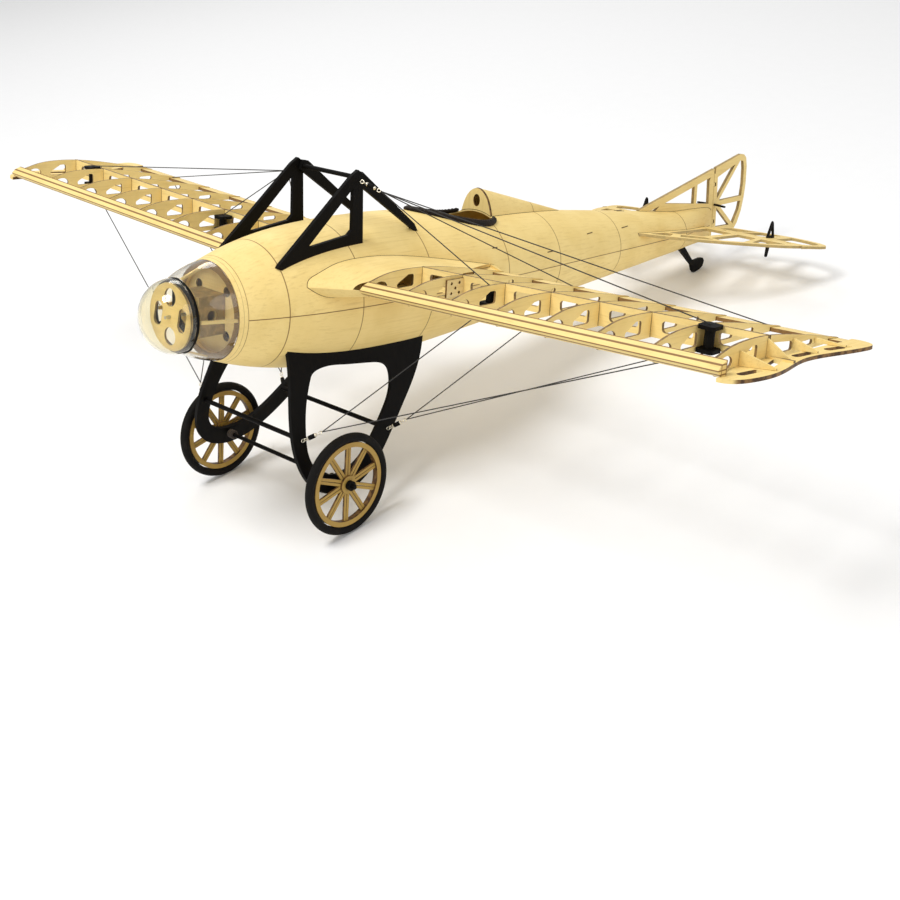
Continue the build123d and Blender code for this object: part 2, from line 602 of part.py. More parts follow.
def wheels():
    centre = (TYRE_RADIUS + RIM_RADIUS) / 2
    half = (TYRE_RADIUS - RIM_RADIUS) / 2
    section = Pos(centre, 0) * Ellipse(half, TYRE_WIDTH / 2)
    seat = Pos(RIM_RADIUS - half, 0) * Rectangle(4 * half, TYRE_WIDTH * 2)
    crown = section - Pos(-half * 0.8, 0) * seat
    profile = Plane.XZ * crown
    tyre = revolve(profile, axis=Axis.Z, revolution_arc=360)
    turn = Pos(WHEEL_X, WHEEL_Y, WHEEL_Z) * Rot(0, 90, 0)
    tyre = tyre - extrude(Circle(RIM_RADIUS + GLUE_FIT), TYRE_WIDTH, both=True)
    pair("tyre", turn * tyre)
    ring = extrude(Circle(RIM_RADIUS) - Circle(RIM_RADIUS - RIM_DEPTH), RIM_WIDTH / 2, both=True)
    hub = extrude(Circle(HUB_RADIUS), HUB_WIDTH / 2, both=True)
    rim = ring + hub
    span = 360 / SPOKE_PAIRS
    for number in range(SPOKE_PAIRS):
        for side in (-1, 1):
            far_angle = math.radians(number * span)
            near_angle = far_angle + side * math.radians(span * 0.42)
            start = ((HUB_RADIUS - 2) * math.cos(near_angle), (HUB_RADIUS - 2) * math.sin(near_angle))
            reach = RIM_RADIUS - RIM_DEPTH / 2
            tip_angle = far_angle + side * math.radians(2.2)
            tip = (reach * math.cos(tip_angle), reach * math.sin(tip_angle))
            rim = rim + bar(start, tip, SPOKE_WIDTH, Plane.XY, SPOKE_THICKNESS)
    rim = rim - extrude(Circle(AXLE_RADIUS + RUNNING_FIT), HUB_WIDTH, both=True)
    pair("spoked_rim", turn * rim)


# ================================================================ wing
def rib_x(number):
    return FIRST_RIB_X + number * RIB_SPACING


def nose_y(x):
    return WING_LE_Y - WING_SWEEP * x


def chord(x):
    return ROOT_CHORD - TAPER * x


def bottom_z(x):
    return WING_Z + DIHEDRAL * x


def section_top(c):
    """Upper outline of the wing section as (setback, height) for a chord c."""
    h = SECTION_HEIGHT
    return [
        (0, 0.39 * h), (0.02 * c, 0.58 * h), (0.057 * c, 0.71 * h), (0.15 * c, 0.93 * h), (0.28 * c, 1.03 * h),
        (0.40 * c, h), (0.60 * c, 0.78 * h), (0.80 * c, 0.46 * h), (c, 0.11 * h),
    ]


def section_face(x, y0, c, z0, height=1.0):
    """Closed wing section in the plane at x."""
    top = [(y0 + s, z0 + h * height) for s, h in section_top(c)]
    low = [(y0 + c, z0), (y0 + 0.11 * c, z0), (y0 + 0.035 * c, z0 + 0.12 * SECTION_HEIGHT), top[0]]
    plane = Plane(origin=(x, 0, 0), x_dir=(0, 1, 0), z_dir=(1, 0, 0))
    edges = [Spline(*top), Line(top[-1], low[0]), Line(low[0], low[1]), Spline(*low[1:])]
    return plane * make_face(edges)


def rib_blank(x):
    """Rib outline at span x, before its cut-outs."""
    face = section_face(x, nose_y(x), chord(x), bottom_z(x))
    return extrude(face, RIB_THICKNESS / 2, both=True)


def swept_block(x0, x1, setback0, setback1, low, high):
    """Straight spanwise strip with parallel top and bottom, following sweep and dihedral."""
    faces = []
    for x in (x0, x1):
        y0 = nose_y(x) + setback0
        y1 = nose_y(x) + setback1
        z0 = bottom_z(x) + low
        z1 = bottom_z(x) + high
        plane = Plane(origin=(x, 0, 0), x_dir=(0, 1, 0), z_dir=(1, 0, 0))
        faces.append(plane * Polygon((y0, z0), (y1, z0), (y1, z1), (y0, z1), align=None))
    return loft(faces, ruled=True)


def leading_edge():
    """Laminated nose strip from the first rib to the tip."""
    faces = []
    for x in (rib_x(0) - RIB_THICKNESS / 2, TIP_LE_X - 12):
        plane = Plane(origin=(x, 0, 0), x_dir=(0, 1, 0), z_dir=(1, 0, 0))
        y0, z0 = nose_y(x), bottom_z(x)
        shares = ((1, 0.71), (0.35, 0.58), (0, 0.39), (0.25, 0.22), (0.7, 0.1), (1, 0.06))
        outline = [(y0 + depth * LE_DEPTH, z0 + height * SECTION_HEIGHT) for depth, height in shares]
        faces.append(plane * Polygon(*outline, align=None))
    return loft(faces, ruled=True)


def trailing_edge():
    """Thin tapered strip, from the first rib to the tip bow."""
    faces = []
    for x in (rib_x(0) - RIB_THICKNESS / 2, TIP_X - 22):
        plane = Plane(origin=(x, 0, 0), x_dir=(0, 1, 0), z_dir=(1, 0, 0))
        end = nose_y(x) + chord(x)
        z0 = bottom_z(x)
        outline = [(end - TE_DEPTH, z0), (end, z0), (end, z0 + 1.6), (end - TE_DEPTH, z0 + TE_HEIGHT)]
        faces.append(plane * Polygon(*outline, align=None))
    return loft(faces, ruled=True)


def main_spar():
    """Upright web from inside the stub to past the last rib, with a window in each bay."""
    low, high = 0.6, SECTION_HEIGHT - 0.2
    last = rib_x(RIB_COUNT - 1)
    root = rib_x(0) - SPAR_ROOT_OVERLAP
    spar = swept_block(root, last + SPAR_TIP_OVERLAP, SPAR_SETBACK, SPAR_SETBACK + SPAR_THICKNESS, low, high)
    sheet = RectangleRounded(RIB_SPACING * 0.56, (high - low) * 0.48, 3.2)
    window = Rot(90, 0, 0) * extrude(sheet, SPAR_THICKNESS * 3, both=True)
    lean = math.degrees(math.atan(DIHEDRAL))
    for bay in range(RIB_COUNT - 1):
        x = (rib_x(bay) + rib_x(bay + 1)) / 2
        y = nose_y(x) + SPAR_SETBACK + SPAR_THICKNESS / 2
        z = bottom_z(x) + (low + high) / 2
        spar = spar - Pos(x, y, z) * Rot(0, -lean, 0) * window
    # beyond the last rib only a low tongue is left, under the tip bow's webs
    over = swept_block(last + 1, last + 60, SPAR_SETBACK - 2, SPAR_SETBACK + 6, 5.0, 60)
    return spar - over


def rib_cutouts(x):
    """Lightening holes: an oval by the nose, a rounded wedge ahead of the spar, two behind."""
    y0, z0, c = nose_y(x), bottom_z(x), chord(x)
    h = SECTION_HEIGHT
    plane = Plane(origin=(x, 0, 0), x_dir=(0, 1, 0), z_dir=(1, 0, 0))
    front_wedge = Polygon(
        (-0.09 * c, -0.28 * h), (0.058 * c, -0.28 * h), (0.058 * c, 0.27 * h), (0.02 * c, 0.27 * h), align=None
    )
    rear_wedge = Polygon(
        (-0.07 * c, -0.22 * h), (0.08 * c, -0.22 * h), (0.08 * c, 0.12 * h), (-0.07 * c, 0.27 * h), align=None
    )
    faces = [
        Pos(y0 + 0.125 * c, z0 + 0.42 * h) * Ellipse(0.042 * c, 0.24 * h),
        Pos(y0 + 0.285 * c, z0 + 0.5 * h) * eased(front_wedge, 2.4),
        Pos(y0 + 0.53 * c, z0 + 0.4 * h) * eased(rear_wedge, 2.0),
        Pos(y0 + 0.73 * c, z0 + 0.27 * h) * SlotOverall(0.09 * c, 0.2 * h),
    ]
    return [extrude(plane * face, RIB_THICKNESS * 2, both=True) for face in faces]


def ribs(spar, rear):
    """Eight ribs between the leading edge strip and the trailing edge strip, halved over the spar."""
    ahead = swept_block(rib_x(0) - 5, TIP_X, -20, LE_DEPTH + GLUE_FIT, -10, 60)
    pieces = []
    for number in range(RIB_COUNT):
        x = rib_x(number)
        blank = rib_blank(x)
        for tool in rib_cutouts(x):
            blank = blank - tool
        blank = blank - ahead - rear - spar
        pieces.extend(blank.solids())
    return pieces


def tip_bow():
    """Flat bow round the wing tip with cut-outs, let in between leading and trailing edge."""
    x_le, x_te = TIP_LE_X, TIP_X
    y_front = nose_y(x_le)
    y_rear = nose_y(x_te) + chord(x_te)
    span = y_rear - y_front
    side = ((8, 0.11), (5.5, 0.24), (10, 0.40), (14, 0.54), (8, 0.73), (0.5, 0.90))
    outer = [(x_le - 12, y_front + 1), (x_le - 1, y_front + 4)]
    outer += [(x_te - inset, y_front + share * span) for inset, share in side]
    outer += [(x_te - 1, y_rear - 7), (x_te - 9, y_rear - 1), (x_te - 22, y_rear)]
    back = rib_x(RIB_COUNT - 1) + RIB_THICKNESS / 2
    edge = Spline(*outer)
    rear_inner = (x_te - 22, y_rear - TE_DEPTH)
    front_inner = (x_le - 12, y_front + LE_DEPTH)
    inner = Spline(
        rear_inner, (x_te - 26, y_front + 0.74 * span), (x_te - 29, y_front + 0.55 * span),
        (back + 1.5, y_front + 0.36 * span), front_inner,
    )
    blank = make_face([edge, Line(outer[-1], rear_inner), inner, Line(front_inner, outer[0])])
    # (inset from the tip, share of the chord, slant, length) of each cut-out
    slots = ((19, 0.17, 80, 24), (22, 0.37, 104, 30), (21, 0.60, 82, 26), (14, 0.80, 74, 26))
    for inset, share, slant, length in slots:
        slot = Rot(0, 0, slant) * SlotOverall(length, TIP_SLOT_WIDTH)
        blank = blank - Pos(x_te - inset, y_front + share * span) * slot
    sheet = extrude(blank, TIP_THICKNESS)
    # sloped like the wing: rising outboard, with the nose higher than the tail
    lean = math.degrees(math.atan(DIHEDRAL))
    base = bottom_z(0) + 0.3
    tilt = Pos(0, 0, base) * Rot(0, -lean, 0)
    return tilt * sheet


def tip_riblets():
    """Small triangular webs from the last rib to the bow."""
    x0 = rib_x(RIB_COUNT - 1) + RIB_THICKNESS / 2 + GLUE_FIT
    c = chord(x0)
    seat = TIP_THICKNESS + 0.6
    webs = []
    # (share of the chord at the rib, height there, share of the chord at the bow, run outboard)
    plan = ((0.22, 14.5, 0.26, 26), (0.42, 17.5, 0.44, 17), (0.62, 12.0, 0.64, 19), (0.80, 7.0, 0.82, 24))
    for share, height, share_out, reach in plan:
        y0, y1 = nose_y(x0) + share * c, nose_y(x0) + share_out * c
        run = math.hypot(reach, y1 - y0)
        low0, low1 = bottom_z(x0) + seat, bottom_z(x0 + reach) + seat
        direction = Vector(reach, y1 - y0, 0).normalized()
        normal = direction.cross(Vector(0, 0, 1))
        plane = Plane(origin=(x0, y0, 0), x_dir=direction, z_dir=normal)
        high0 = low0 + height - TIP_THICKNESS
        web = Polygon((0, low0), (run, low1), (run, low1 + 1.2), (0, high0), align=None)
        webs.append(extrude(plane * web, RIB_THICKNESS / 2, both=True))
    return webs


def stub_solid(shrink):
    """Filled root of the wing, flaring towards the fuselage."""
    outer_x = rib_x(0) - RIB_THICKNESS / 2 - GLUE_FIT
    extra = 4 if shrink else 0
    root = (STUB_ROOT_X - extra, STUB_FLARE, STUB_TAIL_FLARE, STUB_LIFT)
    outboard = (outer_x + extra, 0, 0, 1.0)
    faces = []
    for x, ahead, behind, lift in (root, outboard):
        y0 = nose_y(x) - ahead + 2 * shrink
        c = chord(x) + ahead + behind - 5 * shrink
        z0 = bottom_z(x) - 1.5 * (lift - 1) + shrink
        scale = (SECTION_HEIGHT * lift - 2 * shrink) / SECTION_HEIGHT
        faces.append(section_face(x, y0, c, z0, scale))
    return loft(faces, ruled=True)


def wing():
    spar = main_spar()
    front = leading_edge()
    rear = trailing_edge()
    bow = tip_bow() - front - rear - spar
    last = rib_blank(rib_x(RIB_COUNT - 1))
    webs = [web - bow - spar - last for web in tip_riblets()]
    bow = bow - last
    hull = hull_core(STATIONS[0], STATIONS[5], GLUE_FIT)
    stub = stub_solid(0) - stub_solid(STUB_SKIN) - hull
    spar = spar - hull
    stub = stub - front - rear - spar
    pair("wing_stub", stub)
    pair("leading_edge", front)
    pair("trailing_edge", rear)
    pair("main_spar", spar)
    pair("wing_ribs", group(*ribs(spar, rear)))
    pair("wing_tip", group(bow, *webs))
    plate = joint_plate()
    nodes["wing_joint_plates"] = group(plate, mirrored(plate))
    posts = [wire_post(x, height) for x, height in zip(post_places(), POST_HEIGHTS)]
    nodes["wire_posts"] = group(*posts, *[mirrored(post) for post in posts])


def joint_plate():
    """Small drilled plate on the second rib, against the spar's front face."""
    x = rib_x(1) + RIB_THICKNESS + GLUE_FIT
    y = nose_y(x) + SPAR_SETBACK - JOINT_PLATE_LENGTH / 2 - 4 * GLUE_FIT
    z = bottom_z(x) + SECTION_HEIGHT / 2
    plane = Plane(origin=(x, y, z), x_dir=(0, 1, 0), z_dir=(1, 0, 0))
    face = Rectangle(JOINT_PLATE_LENGTH, JOINT_PLATE_HEIGHT)
    for dy, dz in ((-5, 4.5), (5, 4.5), (0, 0), (-5, -4.5), (5, -4.5)):
        face = face - Pos(dy, dz) * Circle(JOINT_HOLE_RADIUS)
    return extrude(plane * face, RIB_THICKNESS / 2, both=True)


def post_places():
    """Span positions of the two wire posts, each against a rib."""
    offset = RIB_THICKNESS / 2 + POST_FLANGE / 2 + GLUE_FIT
    return (rib_x(2) - offset, rib_x(6) + offset)


def post_y(x):
    reach = POST_FLANGE / 2 * (1 + WING_SWEEP)
    return nose_y(x) + SPAR_SETBACK - reach - GLUE_FIT


def wire_post(x, height):
    y, low = post_y(x), bottom_z(x) + POST_LIFT
    high = low + height
    flange = extrude(RectangleRounded(POST_FLANGE, POST_FLANGE, 3), POST_FLANGE_THICKNESS)
    lower = Pos(x, y, low) * flange
    upper = Pos(x, y, high - POST_FLANGE_THICKNESS) * flange
    core = Pos(x, y, low) * extrude(Circle(POST_CORE_RADIUS), high - low)
    return lower + upper + core


# ================================================================ tail
def tail_z(y):
    """Middle of the tailplane sheet at station y."""
    return TAILPLANE_FRONT[1] + TAILPLANE_SLOPE * (y - TAILPLANE_FRONT[0])


def tail_plane_frame():
    """Sketch plane of the tailplane: local x is span, local y runs aft from the front edge."""
    lean = math.atan(TAILPLANE_SLOPE)
    return Plane(
        origin=(0, TAILPLANE_FRONT[0], TAILPLANE_FRONT[1]),
        x_dir=(1, 0, 0),
        z_dir=(0, -math.sin(lean), math.cos(lean)),
    )


def tail_face(points):
    """Outline given as true (x, y) stations, laid into the tailplane's sketch plane."""
    stretch = math.sqrt(1 + TAILPLANE_SLOPE ** 2)
    flat = [(x, (y - TAILPLANE_FRONT[0]) * stretch) for x, y in points]
    return Polygon(*flat, align=None)


def tail_sheet(face, thickness=TAIL_SHEET):
    return extrude(tail_plane_frame() * face, thickness / 2, both=True)


def hinge_rod(x0, x1, radius):
    z = tail_z(ELEVATOR_HINGE_Y)
    return rod((x0, ELEVATOR_HINGE_Y, z), (x1, ELEVATOR_HINGE_Y, z), radius)


def tail_hinge_places():
    span = ELEVATOR_TIP_X - ELEVATOR_ROOT_X
    return (ELEVATOR_ROOT_X + 0.16 * span, ELEVATOR_ROOT_X + 0.84 * span)


def tailplane_half():
    """Built-up half: outline strips, a root strip, a hinge spar and slanting ribs."""
    hinge = ELEVATOR_HINGE_Y - TAIL_SHEET / 2 - HINGE_GAP
    outline = [
        (24, 431.5), (31, 431.5), (56, 455), (83, 484), (108, 520), (128.5, 556), (139, 580), (144.5, 598),
        (ELEVATOR_TIP_X - 1, hinge), (8, hinge), (18, 520),
    ]
    blank = tail_face(outline)
    windows = [
        [(37, 449), (55, 466), (45, 487), (36, 482)],
        [(36, 491), (47, 496), (66, 518), (58, 594), (22, 594), (32, 520)],
        [(63, 475), (78, 492), (88, 508), (73, 512), (52, 492)],
        [(77, 519), (93, 514), (108, 540), (92, 594), (67, 594)],
        [(113, 549), (124, 568), (132, 588), (133, 594), (99, 594)],
    ]
    for window in windows:
        blank = blank - eased(tail_face(window), WINDOW_CORNER)
    sheet = tail_sheet(blank)
    lugs = []
    half = LUG_WIDTH / 2
    for x in tail_hinge_places():
        z = tail_z(ELEVATOR_HINGE_Y)
        arm = Box(LUG_WIDTH, ELEVATOR_HINGE_Y - hinge, TAIL_SHEET * 0.8)
        knuckle = hinge_rod(x - half, x + half, TAIL_SHEET * 0.4)
        lugs.append(Pos(x, (hinge + ELEVATOR_HINGE_Y) / 2, z) * arm + knuckle)
    for lug in lugs:
        sheet = sheet + lug
    return sheet - hinge_rod(0, ELEVATOR_TIP_X, HINGE_PIN_RADIUS) - tail_fuselage_tool()


def tail_fuselage_tool():
    """The fuselage's outside where the tail surfaces meet it."""
    return hull_core(STATIONS[5], STATIONS[7] + SEAM_GAP, GLUE_FIT) + tail_cone_solid(-GLUE_FIT)


def elevator():
    """Moving half: round hinge spar, curved outline with a balance tip, slanting ribs."""
    y0 = ELEVATOR_HINGE_Y
    outline = [
        (ELEVATOR_ROOT_X, y0), (ELEVATOR_ROOT_X + 8, 641), (27, 649), (36, 653.5), (63, 662), (95, 670.5),
        (118, 670), (138, 665), (151, 657), (157, 647), (156, 634), (151, 617), (ELEVATOR_TIP_X + 1.5, 603),
        (ELEVATOR_TIP_X + HINGE_GAP, y0),
    ]
    blank = tail_face(outline)
    windows = [
        [(23, 620), (49, 620), (57, 652), (38, 646), (28, 642)],
        [(55, 620), (84, 620), (88, 661), (64, 655)],
        [(104, 620), (139, 620), (147, 634), (148, 646), (138, 656), (116, 662), (102, 662)],
    ]
    for window in windows:
        blank = blank - eased(tail_face(window), WINDOW_CORNER)
    sheet = tail_sheet(blank) + hinge_rod(ELEVATOR_ROOT_X, ELEVATOR_TIP_X + HINGE_GAP, TAIL_SHEET / 2)
    notch = Box(LUG_WIDTH + 2 * LUG_GAP, TAIL_SHEET + 2, TAIL_SHEET * 2)
    for x in tail_hinge_places():
        sheet = sheet - Pos(x, y0 - LUG_GAP, tail_z(y0)) * notch
    bore = hinge_rod(0, ELEVATOR_TIP_X - 4, HINGE_PIN_RADIUS + RUNNING_FIT)
    return sheet - bore


def elevator_horn():
    """A-shaped lever above the elevator and a short arm below it."""
    seat = Pos(0, ELEVATOR_HINGE_Y, tail_z(ELEVATOR_HINGE_Y))
    half = TAIL_SHEET / 2
    frame = [(3, 0), (19, 0), (19, half), (14.5, half + 18), (12.5, half + 20), (10.5, half + 18), (3, half + 1)]
    hole = [(7.5, half + 2.5), (15.5, half + 2), (12.4, half + 13)]
    upper = side_plate(frame, HORN_X, HORN_THICKNESS) - side_plate(hole, HORN_X, 2 * HORN_THICKNESS)
    arm = [(6, 0), (14, 0), (8, -half - 20), (5.5, -half - 21), (4, -half - 19.5)]
    lower = side_plate(arm, HORN_X, HORN_THICKNESS)
    slab = elevator_slab()
    above = (seat * upper) - slab
    below = (seat * lower) - slab
    return group(above.solids().sort_by(Axis.Z)[-1], below.solids().sort_by(Axis.Z)[0])


def elevator_slab():
    """Solid slab through the elevator sheet, used to seat the horn on its faces."""
    front, rear = ELEVATOR_HINGE_Y - 30, ELEVATOR_HINGE_Y + 80
    outline = tail_face([(0, front), (TIP_X, front), (TIP_X, rear), (0, rear)])
    return tail_sheet(outline, TAIL_SHEET + 2 * GLUE_FIT)


def horizontal_tail():
    half = tailplane_half()
    nodes["tailplane"] = group(half, mirrored(half))
    pair("elevator", elevator())
    pair("elevator_horn", elevator_horn())


def rudder_y(z):
    """Station of the rudder's hinge line at height z."""
    return RUDDER_HINGE_Y + RUDDER_HINGE_RAKE * z


def rudder_rod(z0, z1, radius):
    return rod((0, rudder_y(z0), z0), (0, rudder_y(z1), z1), radius)


def fin_line(y):
    """Height of the fin's sloping leading edge, which the rudder's top carries on."""
    start_y, start_z = FIN_START
    return start_z + (RUDDER_TOP - start_z) * (y - start_y) / (RUDDER_TOP_Y - start_y)


def rudder_hinge_places():
    return (4.0, 52.0)


def fin():
    """Sloping strip, base board, two ribs and a hinge post."""
    gap = FIN_SHEET / 2 + HINGE_GAP
    top_y = rudder_y(fin_line(RUDDER_HINGE_Y)) - gap
    top_z = fin_line(top_y)
    strip_low = top_z - 8.5
    strip = [
        FIN_START, (top_y, top_z), (rudder_y(strip_low) - gap, strip_low), (520, 35.5), (500, 31), (472, 29),
    ]
    post_low = TAIL_END_BOTTOM + 2
    post = [
        (top_y, top_z - 0.5), (rudder_y(post_low) - gap, post_low), (rudder_y(post_low) - gap - 9, post_low),
        (rudder_y(60) - gap - 10, 58),
    ]
    board = [(500, 24), (520, 37.5), (rudder_y(27.5) - gap - 3, 27.5), (rudder_y(20) - gap - 3, 20), (548, 20)]
    solid = side_plate(strip, 0, FIN_SHEET)
    solid = solid + side_plate(post, 0, FIN_SHEET) + side_plate(board, 0, FIN_SHEET)
    solid = solid + bar((592, 24), (590, 55), 6, SIDE_PLANE, FIN_SHEET)
    reach = gap + 1.5
    for z in rudder_hinge_places():
        y = rudder_y(z)
        arm = Pos(0, y - reach / 2, z) * Box(FIN_SHEET * 0.8, reach, LUG_WIDTH)
        knuckle = Pos(0, y, z - LUG_WIDTH / 2) * extrude(Circle(FIN_SHEET * 0.4), LUG_WIDTH)
        solid = solid + arm + knuckle
    solid = solid - rudder_rod(RUDDER_BOTTOM - 12, RUDDER_TOP, HINGE_PIN_RADIUS)
    return solid - tail_fuselage_tool()


def rudder():
    """Hinge post, sloping top, curved rear bow and three struts."""
    post_top = 66.0
    top = rudder_y(post_top) + 0.5
    outline = [
        (rudder_y(RUDDER_BOTTOM), RUDDER_BOTTOM), (rudder_y(post_top), post_top), (top, fin_line(top)),
        (RUDDER_TOP_Y - 1, RUDDER_TOP), (693, 86.6), (699, 82), (702.5, 70), (704.5, 48), (703.5, 30),
        (700.5, 13), (694, -2), (688, RUDDER_BOTTOM),
    ]
    inside = [
        (rudder_y(-3.5) + 6, -3.5), (rudder_y(61) + 6, 61), (686, 79), (693, 78), (696, 68), (698, 48),
        (697, 31), (694, 15), (684, -3.5),
    ]
    solid = side_plate(outline, 0, FIN_SHEET) - side_plate(inside, 0, FIN_SHEET * 2)
    meeting = (rudder_y(27) + 4, 27)
    for end, width in (((683, 80), 5.5), ((699, 29.5), 6.5), ((683, -6), 5.5)):
        solid = solid + bar(meeting, end, width, SIDE_PLANE, FIN_SHEET)
    solid = solid + rudder_rod(RUDDER_BOTTOM, post_top, FIN_SHEET / 2)
    notch = Box(FIN_SHEET * 2, FIN_SHEET + 2.2, LUG_WIDTH + 2 * LUG_GAP)
    for z in rudder_hinge_places():
        solid = solid - Pos(0, rudder_y(z) - LUG_GAP, z) * notch
    return solid - rudder_rod(RUDDER_BOTTOM - 1, 60, HINGE_PIN_RADIUS + RUNNING_FIT)


def rudder_horn():
    """Two-armed lever on the rudder post."""
    y = rudder_y(RUDDER_HORN_Z)
    root = FIN_SHEET / 2 + GLUE_FIT
    plan = Polygon((root, y + 4), (20, y - 1), (21, y - 3.5), (19, y - 4.5), (root, y - 1), align=None)
    arm = Pos(0, 0, RUDDER_HORN_Z) * extrude(plan, HORN_THICKNESS / 2, both=True)
    return arm, mirrored(arm)


def tail_skid():
    low = tail_bottom_at(566)
    slope = math.radians(standing_tilt())
    toe_y = SKID_HEEL_Y + SKID_FOOT * math.cos(slope)
    toe_z = SKID_HEEL_Z + SKID_FOOT * math.sin(slope)
    outline = [
        (559, low + 6), (574, low + 6), (598.6, -41.0), (604, -43), (617, -41.2), (623, -41.6), (626.4, -45.5),
        (624.5, -52), (toe_y, toe_z), (SKID_HEEL_Y, SKID_HEEL_Z), (602, -55.5), (598.5, -48),
    ]
    plate = side_plate(outline, 0, SKID_THICKNESS)
    return plate - tail_fuselage_tool()


def tail_bottom_at(y):
    share = (y - STATIONS[-1]) / (TAIL_END_Y - STATIONS[-1])
    return -REAR_RADIUS + (REAR_RADIUS + TAIL_END_BOTTOM) * share


def vertical_tail():
    nodes["fin"] = group(fin())
    nodes["rudder"] = group(rudder())
    nodes["rudder_horn"] = group(*rudder_horn())
    nodes["tail_skid"] = group(tail_skid())
    inner = hinge_rod(ELEVATOR_ROOT_X + 4, ELEVATOR_TIP_X - 5, HINGE_PIN_RADIUS)
    upright = rudder_rod(-7, 58, HINGE_PIN_RADIUS)
    nodes["hinge_pins"] = group(inner, mirrored(inner), upright)


# ================================================================ rigging
def unit(a, b):
    return (Vector(*b) - Vector(*a)).normalized()


def turnbuckle(eye, direction):
    """Barrel with an eye at each end; returns its solids and the far eye's place."""
    barrel_start = eye + direction * EYE_LENGTH
    barrel_end = barrel_start + direction * TURNBUCKLE_LENGTH
    far_eye = barrel_end + direction * EYE_LENGTH
    barrel = rod(barrel_start, barrel_end, TURNBUCKLE_RADIUS)
    solids = barrel
    side = direction.cross(Vector(0, 0, 1)).normalized()
    for centre in (eye + direction * (EYE_RADIUS + 0.6), far_eye - direction * (EYE_RADIUS + 0.6)):
        plane = Plane(origin=centre, x_dir=direction, z_dir=side)
        solids = solids + plane.location * Torus(EYE_RADIUS, EYE_WIRE)
    solids = solids + rod(eye + direction * (2 * EYE_RADIUS + 0.4), barrel_start, EYE_WIRE)
    solids = solids + rod(barrel_end, far_eye - direction * (2 * EYE_RADIUS + 0.4), EYE_WIRE)
    return solids, far_eye + direction * RUNNING_FIT


def wire_targets(top):
    """Where the wires of one wing end: two posts, and two points near the trailing edge."""
    clear = WIRE_RADIUS + RUNNING_FIT
    points = []
    for x, height in zip(post_places(), POST_HEIGHTS):
        lift = height + clear if top else -clear
        points.append((x, post_y(x), bottom_z(x) + POST_LIFT + lift))
    for number in (2, 6):
        x = rib_x(number) - RIB_THICKNESS / 2 - 2 * clear
        y = nose_y(x) + chord(x) - TE_DEPTH * 0.75
        points.append((x, y, bottom_z(x) + (TE_HEIGHT + clear if top else -clear)))
    return points


def rigging():
    wires, buckles = [], []
    apex_y, apex_z = CABANE_APEX
    gear_front_z, gear_rear_z = -113.0, -122.0
    outward = GEAR_THICKNESS / 2 + 0.6
    anchors = (
        (Vector(CABANE_X + CABANE_THICKNESS / 2 + 0.6, apex_y + 2, apex_z - 10), wire_targets(True)),
        (Vector(gear_x(gear_front_z) + outward, -107.0, gear_front_z), wire_targets(False)[:2]),
        (Vector(gear_x(gear_rear_z) + outward, -3.0, gear_rear_z), wire_targets(False)[2:]),
    )
    for eye, ends in anchors:
        middle = Vector(0, 0, 0)
        for end in ends:
            middle = middle + unit(eye, end)
        solids, start = turnbuckle(eye, middle.normalized())
        buckles.append(solids)
        fan = rod(start, Vector(*ends[0]), WIRE_RADIUS)
        for end in ends[1:]:
            fan = fan + rod(start, Vector(*end), WIRE_RADIUS)
        wires.append(fan)
    nodes["turnbuckles"] = group(*buckles, *[mirrored(b) for b in buckles])
    nodes["rigging_wires"] = group(*wires, *[mirrored(w) for w in wires])


# ================================================================ stand and write
def standing_tilt():
    """Angle that brings the wheels and the tail skid onto one level."""
    run, rise = SKID_HEEL_Y - WHEEL_Y, SKID_HEEL_Z - WHEEL_Z
    reach = math.hypot(run, rise)
    return math.degrees(math.atan2(rise, run) + math.asin(TYRE_RADIUS / reach))


fuselage_skins()
fuselage_frame()
fuselage_tail()
nose()
cockpit()
cabane()
landing_gear()
wheels()
wing()
horizontal_tail()
vertical_tail()
rigging()

tilt = standing_tilt()
tipped = {name: Rot(-tilt, 0, 0) * shape for name, shape in nodes.items()}
boxes = [shape.bounding_box() for shape in tipped.values()]
front = min(box.min.Y for box in boxes)
back = max(box.max.Y for box in boxes)
wheel_height = math.sin(math.radians(-tilt)) * WHEEL_Y + math.cos(math.radians(tilt)) * WHEEL_Z
drop = Pos(0, -(front + back) / 2, TYRE_RADIUS - wheel_height)
placement = drop * Rot(-tilt, 0, 0)

os.makedirs("parts", exist_ok=True)
for name, shape in nodes.items():
    placed = placement * shape
    placed.label = name
    export_step(placed, "parts/" + name + ".step")
print(len(nodes), "nodes; tilt", round(tilt, 3), "shift", placement.position)
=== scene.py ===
import json
import math

import bmesh
import bpy
from mathutils import Matrix, Vector
from mathutils.bvhtree import BVHTree


